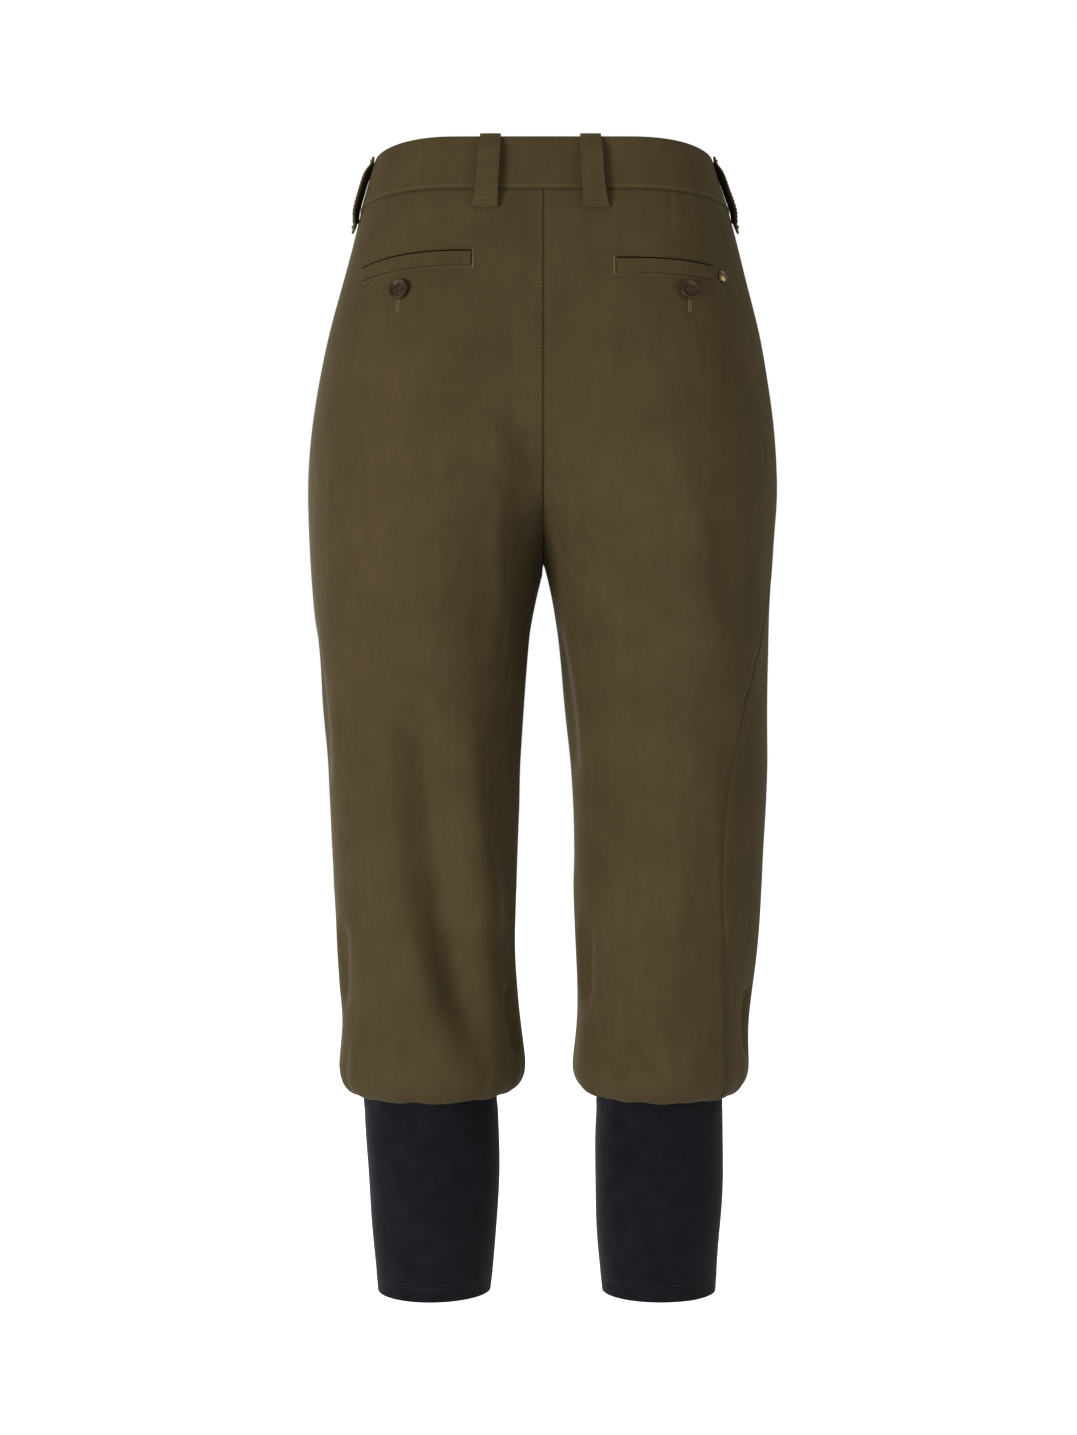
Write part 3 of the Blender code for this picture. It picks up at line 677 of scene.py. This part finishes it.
def finish_cloth(obj, node):
    """Gives a finished piece of cloth its material and its place in the frame."""
    obj.data.shade_smooth()
    obj.data.materials.clear()
    obj.data.materials.append(cloth_finish)
    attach(obj, "root")
    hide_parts(node)


finish_cloth(band, "waistband")

# One row of stitches goes all round, a little above the band's lower edge.
ABOVE_EDGE = 2.4
NEAREST = 120
band_surface = surface_of(band)
band_points = np.array([vertex.co for vertex in band.data.vertices]) / MM
band_angle = np.arctan2(band_points[:, 1], band_points[:, 0])
route = []
for angle in np.linspace(-pi, pi, 181):
    gap = np.abs((band_angle - angle + pi) % (2 * pi) - pi)
    edge = band_points[np.argsort(gap)[:NEAREST], 2].min()
    outward = Vector((cos(angle), sin(angle), 0))
    start = outward * 0.4 + Vector((0, 0, (edge + ABOVE_EDGE) * MM))
    found, normal, _, _ = band_surface.ray_cast(start, -outward)
    route.append((found + normal * THREAD_LIFT * MM) / MM)
sew_on("band_stitches", [stitch_run("band_low_row", route)])


# ---- Belt loops
# Six narrow tubes of cloth pressed flat, stitched along both edges, and tacked down with dense
# bars of thread at the head and the foot. The side ones have turned, so that their front edge
# lies near the band.
LOOP_WIDE = 16
# The foot is folded under, so it is thicker and a little wider.
FOOT_FOLD = 8.5
FOLD_EASE = 1.2
FOOT_THICK = 0.9
FOOT_FLARE = 0.14
FLARE_HIGH = 16
# How far a side loop's rear and front edges are pressed in, and where the pressing fades out.
REAR_PRESS = 0.8
FRONT_PRESS = 4.2
FREE_ABOVE_FOOT = 12
FREE_BELOW_HEAD = 9
# The stitches and the bars of thread.
LOOP_EDGE = 5.6
ROW_FROM_HEAD = 4
ROW_FROM_FOOT = 6
TACK_FROM_HEAD = 2.2
TACK_FROM_FOOT = 3.2
TACK_REACH = 6.2
# A loop faces the way that the waist's oval does, with these half widths.
OVAL_X = 140
OVAL_Y = 100


def bar_tack(name, route, wide=1.9, pitch=0.5):
    """A bar of dense stitches that lie across the route."""
    return stitch_run(name, route, long=0.5, wide=wide, pitch=pitch)


tacks = []
for where in ("back_left", "back_right", "side_left", "side_right", "front_left", "front_right"):
    loop = copy_of_node("loop_" + where, "loop_" + where + "_cloth")
    low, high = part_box("loop_" + where)
    apply_modifier(
        loop, "BEVEL", width=0.45 * MM, segments=2, limit_method="ANGLE", angle_limit=radians(50)
    )
    apply_modifier(loop, "SUBSURF", levels=2, render_levels=2)
    middle = (low + high) / 2 / MM
    outward = Vector((middle.x / OVAL_X, middle.y / OVAL_Y, 0)).normalized()
    along = Vector((-outward.y, outward.x, 0))
    for vertex in loop.data.vertices:
        above = vertex.co.z - low.z
        from_middle = vertex.co - Vector((middle.x, middle.y, 0)) * MM
        foot = float(fade((FOOT_FOLD * MM - above) / (FOLD_EASE * MM)))
        vertex.co += outward * FOOT_THICK * MM * foot
        flare = 1 + FOOT_FLARE * float(fade(1 - above / (FLARE_HIGH * MM)))
        vertex.co += along * (from_middle @ along) * (flare - 1)
        if where.startswith("side"):
            free = fade(above / (FREE_ABOVE_FOOT * MM))
            free *= fade((high.z - vertex.co.z) / (FREE_BELOW_HEAD * MM))
            forward = fade(0.5 - from_middle.y / (LOOP_WIDE * MM))
            vertex.co -= outward * (REAR_PRESS + FRONT_PRESS * forward) * MM * float(free)
    finish_cloth(
        loop, "loop_" + where
    )
    loop_surface = surface_of(loop)

    def on_loop(across, z):
        """The point of the loop's face at a place on it, in millimetres, or nothing beside it."""
        start = (Vector((middle.x, middle.y, z)) + along * across) * MM + outward * 0.1
        found, normal, _, _ = loop_surface.ray_cast(start, -outward)
        return (found + normal * THREAD_LIFT * MM) / MM if found else None

    for across in (-LOOP_EDGE, LOOP_EDGE):
        heights = np.linspace(high.z / MM - ROW_FROM_HEAD, low.z / MM + ROW_FROM_FOOT, 24)
        route = [on_loop(across, z) for z in heights]
        tacks.append(stitch_run("loop_row", [point for point in route if point]))
    for z in (low.z / MM + TACK_FROM_FOOT, high.z / MM - TACK_FROM_HEAD):
        route = [on_loop(across, z) for across in np.linspace(-TACK_REACH, TACK_REACH, 9)]
        route = [point for point in route if point]
        tacks.append(bar_tack("loop_tack", route, wide=2.2, pitch=0.55))
sew_on("loop_stitches", tacks)


# ---- Back pockets
# Two single-welt pockets. The mouth is a thin tube coloured as painted shadow, for the dark slit,
# under a folded lip; the welt below it is a strip of the same cloth, stitched along its lower seam
# and tacked with a bar at its inner end.
# Below the button a bound buttonhole shows its tail.
# The mouth's tube is painted near black: painted shadow standing in for the dark inside the slit.
mouth_shadow_finish, tree, shader = new_material("pocket_mouth_shadow", roughness=0.95, specular=0.05)
shader.inputs["Base Color"].default_value = linear("#15110a")

Pocket = namedtuple("Pocket", "word side length z")
POCKETS = [Pocket("left", 1, 91, -70), Pocket("right", -1, 77, -75.5)]
WELT_DEEP = 10.5
# The mouth and its lip lie along the welt's upper edge, and stop short of its two ends.
MOUTH_THICK = 1.5
MOUTH_INNER = 0.5
MOUTH_OUTER = 2.5
MOUTH_ABOVE = 0.5
MOUTH_LIFT = 0.45
LIP_ABOVE = 1.7
LIP_LIFT = 0.25
# The row of stitches below the welt, the bar at its inner end, and the buttonhole's tail, whose
# two edges are measured down from the button's middle.
ROW_BELOW = 1.4
BAR_ASIDE = 1.2
BAR_LIFT = 0.5
BAR_ABOVE = 1.5
BAR_BELOW = 12
TAIL_TOP = 5
TAIL_FOOT = 17
TAIL_HALF = 0.8
TAIL_LIFT = 0.25
for pocket in POCKETS:
    welt = copy_of_node("welt_" + pocket.word, "welt_" + pocket.word + "_cloth")
    low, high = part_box("welt_" + pocket.word)
    apply_modifier(
        welt, "BEVEL", width=0.4 * MM, segments=2, limit_method="ANGLE", angle_limit=radians(50)
    )
    apply_modifier(welt, "SUBSURF", levels=2, render_levels=2)
    finish_cloth(
        welt,
        "welt_" + pocket.word,
    )
    inner_x = min(abs(low.x), abs(high.x)) / MM
    outer_x = max(abs(low.x), abs(high.x)) / MM
    welt_points = np.array([vertex.co for vertex in welt.data.vertices]) / MM

    def along_mouth(below, lift):
        """Points along the mouth, this far below the welt's upper edge."""
        route = []
        for x in np.linspace(inner_x + MOUTH_INNER, outer_x - MOUTH_OUTER, 40):
            here = np.argsort(np.abs(np.abs(welt_points[:, 0]) - x))[:60]
            edge = welt_points[here, 2].max()
            route.append(on_cloth(pocket.side * x, edge - below, lift=lift))
        return route

    mouth = curve_through("mouth", along_mouth(-MOUTH_ABOVE, MOUTH_LIFT), thick=MOUTH_THICK)
    lip = curve_through("lip", along_mouth(-LIP_ABOVE, LIP_LIFT), thick=MOUTH_THICK)
    for tube, name, finish in (
        (mouth, "pocket_mouth_", mouth_shadow_finish),
        (lip, "pocket_lip_", cloth_finish),
    ):
        make_active(tube)
        bpy.ops.object.convert(target="MESH")
        tube.name = tube.data.name = name + pocket.word
        tube.data.materials.clear()
        tube.data.materials.append(finish)
        tube.data.shade_smooth()
        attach(tube, "root")

    rows = [stitch_run("welt_row", along_mouth(WELT_DEEP + ROW_BELOW, THREAD_LIFT))]
    bar_x = pocket.side * (inner_x - BAR_ASIDE)
    heights = np.linspace(pocket.z + BAR_ABOVE, pocket.z - BAR_BELOW, 10)
    rows.append(bar_tack("welt_bar", [on_cloth(bar_x, z, lift=BAR_LIFT) for z in heights]))
    button_low, button_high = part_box("button_" + pocket.word)
    tail_x = (button_low.x + button_high.x) / 2 / MM
    tail_z = (button_low.z + button_high.z) / 2 / MM
    heights = np.linspace(tail_z - TAIL_TOP, tail_z - TAIL_FOOT, 8)
    for aside in (-TAIL_HALF, TAIL_HALF):
        tail = [on_cloth(tail_x + aside, z, lift=TAIL_LIFT) for z in heights]
        rows.append(bar_tack("buttonhole_edge", tail, wide=1.3))
    sew_on("pocket_stitches_" + pocket.word, rows)


# ---- Fly
# The left front laps over the right in a flap that ends in a J, held by a double row of
# stitches, with a bar across its foot.
fly = copy_of_node("fly_flap", "fly_flap_cloth")
apply_modifier(
    fly, "BEVEL", width=0.4 * MM, segments=2, limit_method="ANGLE", angle_limit=radians(50)
)
apply_modifier(fly, "SUBSURF", levels=2, render_levels=2)
finish_cloth(fly, "fly_flap")
fly_surface = surface_of(fly)
FLY_TOP = -30
FLY_STRAIGHT = -126
FLY_FOOT = -168
FLY_WIDE = 38
FLY_ROWS = (3.0, 8.5)
J_INNER = 5
BAR_DROP = 3.5
BAR_FROM = -2
BAR_TO = 8
rows = []
for inset in FLY_ROWS:
    route = []
    for z in np.linspace(FLY_TOP, FLY_STRAIGHT, 22):
        route.append((FLY_WIDE - inset, z))
    reach = FLY_WIDE - J_INNER - inset
    drop = FLY_STRAIGHT - FLY_FOOT - inset
    for turn in np.linspace(0, pi / 2, 20)[1:]:
        route.append((J_INNER + reach * cos(turn), FLY_STRAIGHT - drop * sin(turn)))
    route = [on_cloth(x, z, -1, fly_surface, lift=THREAD_LIFT) for x, z in route]
    rows.append(stitch_run("fly_row", route))
bar = [on_cloth(x, FLY_FOOT - BAR_DROP, -1, lift=BAR_LIFT) for x in np.linspace(BAR_FROM, BAR_TO, 9)]
rows.append(bar_tack("fly_bar", bar))
sew_on("fly_stitches", rows)


# ---- Buttons
# Three four-hole buttons turned from dark polyester made to look like horn: half glossy, brown
# with paler streaks, a raised rim and a sunk face, sewn on through the holes.
BUTTON_WIDE = 15.2
BUTTON_THICK = 2.8
FACE_SUNK = 0.9
FACE_HOLLOW = 0.2
HOLE_WIDE = 1.8
HOLE_APART = 3.1
STRAND_THICK = 0.5
STRAND_APART = 0.35
STRAND_RISE = 0.55
STRAND_BACK = -0.6
SHANK_THICK = 3.6
SEWING_DEEP = 0.75
HORN_CLOUD = 5
horn, tree, shader = new_material("horn_look_polyester", roughness=0.45, specular=0.28)
place = add_node(tree, "TexCoord").outputs["Object"]
stretched = add_node(tree, "Mapping", inputs={"Vector": place, "Scale": (1.0, 0.4, 1.0)})
cloud = add_node(
    tree,
    "TexNoise",
    inputs={
        "Vector": stretched.outputs["Vector"],
        "Scale": 1 / (HORN_CLOUD * MM),
        "Detail": 4.0,
        "Distortion": 1.2,
    },
)
horn_colours = add_node(tree, "ValToRGB", inputs={"Fac": cloud.outputs["Fac"]})
horn_colours.color_ramp.elements[0].position = 0.35
horn_colours.color_ramp.elements[0].color = linear("#312015")
horn_colours.color_ramp.elements[1].position = 0.72
horn_colours.color_ramp.elements[1].color = linear("#5e452c")
tree.links.new(horn_colours.outputs["Color"], shader.inputs["Base Color"])

button_thread, tree, shader = new_material("button_thread", roughness=0.6, specular=0.3)
shader.inputs["Base Color"].default_value = linear("#4e432d")

deselect_all()
bpy.ops.mesh.primitive_cylinder_add(
    vertices=48, radius=BUTTON_WIDE / 2 * MM, depth=BUTTON_THICK * MM
)
master = bpy.context.object
master.name = "button_master"
bpy.ops.object.mode_set(mode="EDIT")
bpy.ops.mesh.select_mode(type="FACE")
bpy.ops.mesh.select_all(action="DESELECT")
bpy.ops.object.mode_set(mode="OBJECT")
for face in master.data.polygons:
    face.select = face.normal.z > 0.9
bpy.ops.object.mode_set(mode="EDIT")
for step in (0.7, 0.8, 0.7):
    bpy.ops.mesh.inset(thickness=step * MM)
bpy.ops.transform.translate(value=(0, 0, -FACE_SUNK * MM))
bpy.ops.mesh.inset(thickness=2.2 * MM)
bpy.ops.transform.translate(value=(0, 0, -FACE_HOLLOW * MM))
bpy.ops.object.mode_set(mode="OBJECT")
apply_modifier(
    master, "BEVEL", width=0.45 * MM, segments=3, limit_method="ANGLE", angle_limit=radians(35)
)
for x in (-HOLE_APART / 2, HOLE_APART / 2):
    for y in (-HOLE_APART / 2, HOLE_APART / 2):
        deselect_all()
        bpy.ops.mesh.primitive_cylinder_add(
            vertices=16, radius=HOLE_WIDE / 2 * MM, depth=9 * MM, location=(x * MM, y * MM, 0)
        )
        drill = bpy.context.object
        apply_modifier(master, "BOOLEAN", operation="DIFFERENCE", object=drill, solver="EXACT")
        bpy.data.objects.remove(drill)
make_active(master)
bpy.ops.object.shade_smooth_by_angle(angle=radians(35))

thread_top = BUTTON_THICK / 2 - SEWING_DEEP
reach = HOLE_APART / 2
sewing = []
for x in (-HOLE_APART / 2, HOLE_APART / 2):
    for aside in (-STRAND_APART, 0, STRAND_APART):
        arch = [
            (x + aside, reach * sin(turn), thread_top + STRAND_RISE * cos(turn) - STRAND_THICK)
            for turn in np.linspace(-pi / 2, pi / 2, 9)
        ]
        arch = [(x + aside, -reach, STRAND_BACK)] + arch + [(x + aside, reach, STRAND_BACK)]
        strand = curve_through("strand", arch, thick=STRAND_THICK)
        make_active(strand)
        bpy.ops.object.convert(target="MESH")
        sewing.append(strand)
shank = curve_through("shank", [(0, 0, -BUTTON_THICK), (0, 0, 0)], thick=SHANK_THICK)
make_active(shank)
bpy.ops.object.convert(target="MESH")
sewing.append(shank)
sewing = join_all("button_sewing", sewing)
sewing.data.materials.clear()
sewing.data.materials.append(button_thread)

# Each button has come to rest turned by its own angle.
SPIN = {"left": 24, "right": -12, "waist": 40}
for word, spin in SPIN.items():
    node = "button_" + word
    low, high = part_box(node)
    middle = (low + high) / 2
    facing = -1 if word == "waist" else 1
    surface = band_surface if word == "waist" else legs_surface
    start = Vector((middle.x, facing * OUTSIDE, middle.z))
    _, normal, _, _ = surface.ray_cast(start, Vector((0, -facing, 0)))
    turned = normal.to_track_quat("Z", "Y") @ Quaternion((0, 0, 1), radians(spin))
    for source, name, finish, slot_name in (
        (master, node + "_disc", horn, "horn_plastic"),
        (sewing, node + "_sewing", button_thread, "horn_plastic"),
    ):
        made = bpy.data.objects.new(name, source.data.copy())
        bpy.context.scene.collection.objects.link(made)
        make_active(made)
        made.rotation_euler = turned.to_euler()
        made.location = middle
        bpy.ops.object.transform_apply(location=True, rotation=True, scale=True)
        made.data.materials.clear()
        made.data.materials.append(finish)
        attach(made, "root")
        if source is master:
            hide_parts(node)
for spare in (master, sewing):
    bpy.data.objects.remove(spare)


# ---- Stud
# A small domed brass stud with a rolled rim beside the right back pocket, pressed through the
# cloth, and tarnished in spots.
STUD_WIDE = 9.6
STUD_THICK = 0.8
TARNISH_SPOT = 1.6
brass, tree, shader = new_material("aged_brass_stud", roughness=0.34)
shader.inputs["Metallic"].default_value = 1.0
place = add_node(tree, "TexCoord").outputs["Object"]
tarnish = add_node(
    tree, "TexNoise", inputs={"Vector": place, "Scale": 1 / (TARNISH_SPOT * MM), "Detail": 3.0}
)
brass_colours = add_node(tree, "ValToRGB", inputs={"Fac": tarnish.outputs["Fac"]})
brass_colours.color_ramp.elements[0].position = 0.35
brass_colours.color_ramp.elements[0].color = linear("#5a4826")
brass_colours.color_ramp.elements[1].position = 0.7
brass_colours.color_ramp.elements[1].color = linear("#cbb07a")
tree.links.new(brass_colours.outputs["Color"], shader.inputs["Base Color"])

low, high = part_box("rivet")
middle = (low + high) / 2
_, normal, _, _ = legs_surface.find_nearest(middle)
deselect_all()
bpy.ops.mesh.primitive_cylinder_add(
    vertices=32, radius=STUD_WIDE / 2 * MM, depth=STUD_THICK * MM
)
stud = bpy.context.object
stud.name = stud.data.name = "stud"
for face in stud.data.polygons:
    face.select = face.normal.z > 0.9
bpy.ops.object.mode_set(mode="EDIT")
bpy.ops.mesh.select_mode(type="FACE")
# The rim, the groove inside it, and the dome in four steps.
bpy.ops.mesh.inset(thickness=0.7 * MM)
bpy.ops.mesh.inset(thickness=0.4 * MM)
bpy.ops.transform.translate(value=(0, 0, -0.4 * MM))
bpy.ops.mesh.inset(thickness=0.35 * MM)
for rise, shrink in ((1.0, 0.55), (0.6, 0.75), (0.3, 0.8), (0.08, 0.6)):
    bpy.ops.mesh.inset(thickness=shrink * MM)
    bpy.ops.transform.translate(value=(0, 0, rise * MM))
bpy.ops.object.mode_set(mode="OBJECT")
apply_modifier(
    stud, "BEVEL", width=0.18 * MM, segments=2, limit_method="ANGLE", angle_limit=radians(40)
)
make_active(stud)
stud.rotation_euler = normal.to_track_quat("Z", "Y").to_euler()
stud.location = middle
bpy.ops.object.transform_apply(location=True, rotation=True, scale=True)
bpy.ops.object.shade_smooth_by_angle(angle=radians(40))
stud.data.materials.clear()
stud.data.materials.append(brass)
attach(stud, "root")
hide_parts("rivet")


# ---- Calf cuffs
# Two tubes of fine black jersey with elastane that grip the calf, with a turned and twin
# stitched hem. The knit's wales run down the leg, and its courses go round it.
WALE = 1.3
COURSE = 1.0
LINT = 14
jersey, tree, shader = new_material("stretch_jersey", roughness=0.85, specular=0.08)
shader.inputs["Sheen Weight"].default_value = 0.04
shader.inputs["Sheen Roughness"].default_value = 0.5
wales = add_node(tree, "Attribute", settings={"attribute_name": "round_cuff"})
knit_place = add_node(tree, "CombineXYZ")
place = add_node(tree, "TexCoord").outputs["Object"]
parts = add_node(tree, "SeparateXYZ", inputs={"Vector": place})
tree.links.new(wales.outputs["Fac"], knit_place.inputs["X"])
tree.links.new(parts.outputs["Z"], knit_place.inputs["Z"])
ribs = add_node(
    tree,
    "TexWave",
    settings={"wave_type": "BANDS", "bands_direction": "X", "wave_profile": "SIN"},
    inputs={"Vector": knit_place.outputs["Vector"], "Scale": WAVE / (WALE * MM)},
)
courses = add_node(
    tree,
    "TexWave",
    settings={"wave_type": "BANDS", "bands_direction": "Z", "wave_profile": "SIN"},
    inputs={"Vector": knit_place.outputs["Vector"], "Scale": WAVE / (COURSE * MM)},
)
knit = add_node(
    tree,
    "Math",
    settings={"operation": "MULTIPLY"},
    inputs={0: ribs.outputs["Fac"], 1: courses.outputs["Fac"]},
)
lint = add_node(
    tree, "TexNoise", inputs={"Vector": place, "Scale": 1 / (LINT * MM), "Detail": 4.0}
)
black = add_node(tree, "ValToRGB", inputs={"Fac": lint.outputs["Fac"]})
black.color_ramp.elements[0].position = 0.3
black.color_ramp.elements[0].color = linear("#131319")
black.color_ramp.elements[1].position = 0.75
black.color_ramp.elements[1].color = linear("#1c1c23")
tree.links.new(black.outputs["Color"], shader.inputs["Base Color"])
knit_relief = add_node(
    tree,
    "Bump",
    inputs={"Height": knit.outputs["Value"], "Strength": 0.4, "Distance": 0.25 * MM},
)
tree.links.new(knit_relief.outputs["Normal"], shader.inputs["Normal"])

black_thread, tree, shader = new_material("black_hem_thread", roughness=0.55, specular=0.3)
shader.inputs["Base Color"].default_value = linear("#26262b")

CUFF_AXIS = Vector((88, 3, 0))
CALF_RADIUS = 50
CUFF_HEM = 15
HEM_THICK = 0.5
HEM_EASE = 1.6
HEM_ROWS = (1.5, 4.0)
HEM_ROW_LIFT = 0.08
SLANT_DEEP = 0.5
PUCKER_DEEP = 0.9
PUCKERS_AT = -706
PUCKERS_HIGH = 6
for side, word in ((1, "left"), (-1, "right")):
    cuff = copy_of_node("cuff_" + word, "cuff_" + word + "_cloth")
    apply_modifier(
        cuff, "BEVEL", width=0.5 * MM, segments=2, limit_method="ANGLE", angle_limit=radians(60)
    )
    apply_modifier(cuff, "SUBSURF", levels=3, render_levels=3)
    cuff_points = np.array([vertex.co for vertex in cuff.data.vertices]) / MM
    bottom = cuff_points[:, 2].min()
    outward = cuff_points - np.array([side * CUFF_AXIS.x, CUFF_AXIS.y, 0])
    outward[:, 2] = 0
    radius = np.linalg.norm(outward, axis=1)
    outward /= radius[:, None]
    angle = np.arctan2(outward[:, 1], side * outward[:, 0])
    # The hem is a second layer. The tube has soft slants where it is pulled, and puckers under
    # the gathered cloth.
    height = cuff_points[:, 2]
    hem = fade((bottom + CUFF_HEM - height) / HEM_EASE)
    crease = SLANT_DEEP * np.sin(angle * 3 + height / 31) * np.sin(height / 23 + side)
    puckered = np.exp(-(((height - PUCKERS_AT) / PUCKERS_HIGH) ** 2))
    crease += PUCKER_DEEP * puckered * np.sin(angle * 7 + side)
    is_outer = radius > np.percentile(radius, 50)
    cuff_points += outward * (HEM_THICK * hem * is_outer + crease)[:, None]
    cuff.data.vertices.foreach_set("co", (cuff_points * MM).ravel())
    round_cuff = cuff.data.attributes.new("round_cuff", "FLOAT", "POINT")
    round_cuff.data.foreach_set("value", np.abs(angle) * CALF_RADIUS * MM)
    cuff.data.shade_smooth()
    cuff.data.materials.clear()
    cuff.data.materials.append(jersey)
    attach(cuff, "root")
    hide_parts("cuff_" + word)
    cuff_surface = surface_of(cuff)
    rows = []
    for below in HEM_ROWS:
        route = []
        for turn in np.linspace(-pi, pi, 97):
            away = Vector((side * cos(turn), sin(turn), 0))
            level = bottom + CUFF_HEM - below
            start = Vector((side * CUFF_AXIS.x, CUFF_AXIS.y, level)) * MM + away * 0.2
            found, normal, _, _ = cuff_surface.ray_cast(start, -away)
            route.append((found + normal * HEM_ROW_LIFT * MM) / MM)
        rows.append(stitch_run("cuff_row", route, long=1.9, wide=0.35, pitch=2.4))
    sew_on("cuff_stitches_" + word, rows, black_thread)


# ---- Studio
# A white floor in an evenly white room, seen brighter than it lights. A soft key behind the
# wearer on the left and a weak fill on the right light the back, and a third lamp the front.
FLOOR_Z = -0.99
bpy.ops.mesh.primitive_plane_add(size=12, location=(0, 0, FLOOR_Z))
floor = bpy.context.object
floor.name = "floor"
paper, tree, shader = new_material("white_paper", roughness=0.9)
shader.inputs["Base Color"].default_value = linear("#f6f6f6")
shader.inputs["Emission Color"].default_value = linear("#ffffff")
shader.inputs["Emission Strength"].default_value = 1.0
floor.data.materials.append(paper)
floor.visible_diffuse = False

ROOM_LIGHT = 0.25
world = bpy.data.worlds.new("white_room")
bpy.context.scene.world = world
world.use_nodes = True
background = world.node_tree.nodes["Background"]
background.inputs["Color"].default_value = linear("#ffffff")
rays = add_node(world.node_tree, "LightPath")
seen = add_node(
    world.node_tree,
    "MapRange",
    inputs={"Value": rays.outputs["Is Camera Ray"], "To Min": ROOM_LIGHT, "To Max": 1.0},
)
world.node_tree.links.new(seen.outputs["Result"], background.inputs["Strength"])


def area_light(name, place, target, size, watts):
    """A square lamp at a place, turned towards a target."""
    bpy.ops.object.light_add(type="AREA", location=place)
    lamp = bpy.context.object
    lamp.name = name
    lamp.data.size = size
    lamp.data.energy = watts
    lamp.rotation_euler = (Vector(target) - Vector(place)).to_track_quat("-Z", "Y").to_euler()
    return lamp


area_light("key", (1.36, 1.72, -0.55), target=(0, 0, -0.55), size=0.8, watts=27)
area_light("fill", (-1.7, 1.3, -0.2), target=(0, 0, -0.5), size=1.4, watts=7.5)
area_light("front", (1.1, -1.9, -0.3), target=(0, 0, -0.5), size=1.2, watts=24)

# The camera stands level behind the wearer, and takes in this much at the garment's middle.
CAMERA_ASIDE = 0.0039
CAMERA_AWAY = 1.8
CAMERA_Z = -0.411
VIEW_HIGH = 1435 * 0.78 * MM
SENSOR = 36
bpy.ops.object.camera_add(
    location=(CAMERA_ASIDE, CAMERA_AWAY, CAMERA_Z), rotation=(radians(90), 0, radians(180))
)
camera = bpy.context.object
camera.data.sensor_fit = "VERTICAL"
camera.data.sensor_height = SENSOR
camera.data.lens = SENSOR * CAMERA_AWAY / VIEW_HIGH
bpy.context.scene.camera = camera
bpy.context.scene.view_settings.view_transform = "Standard"
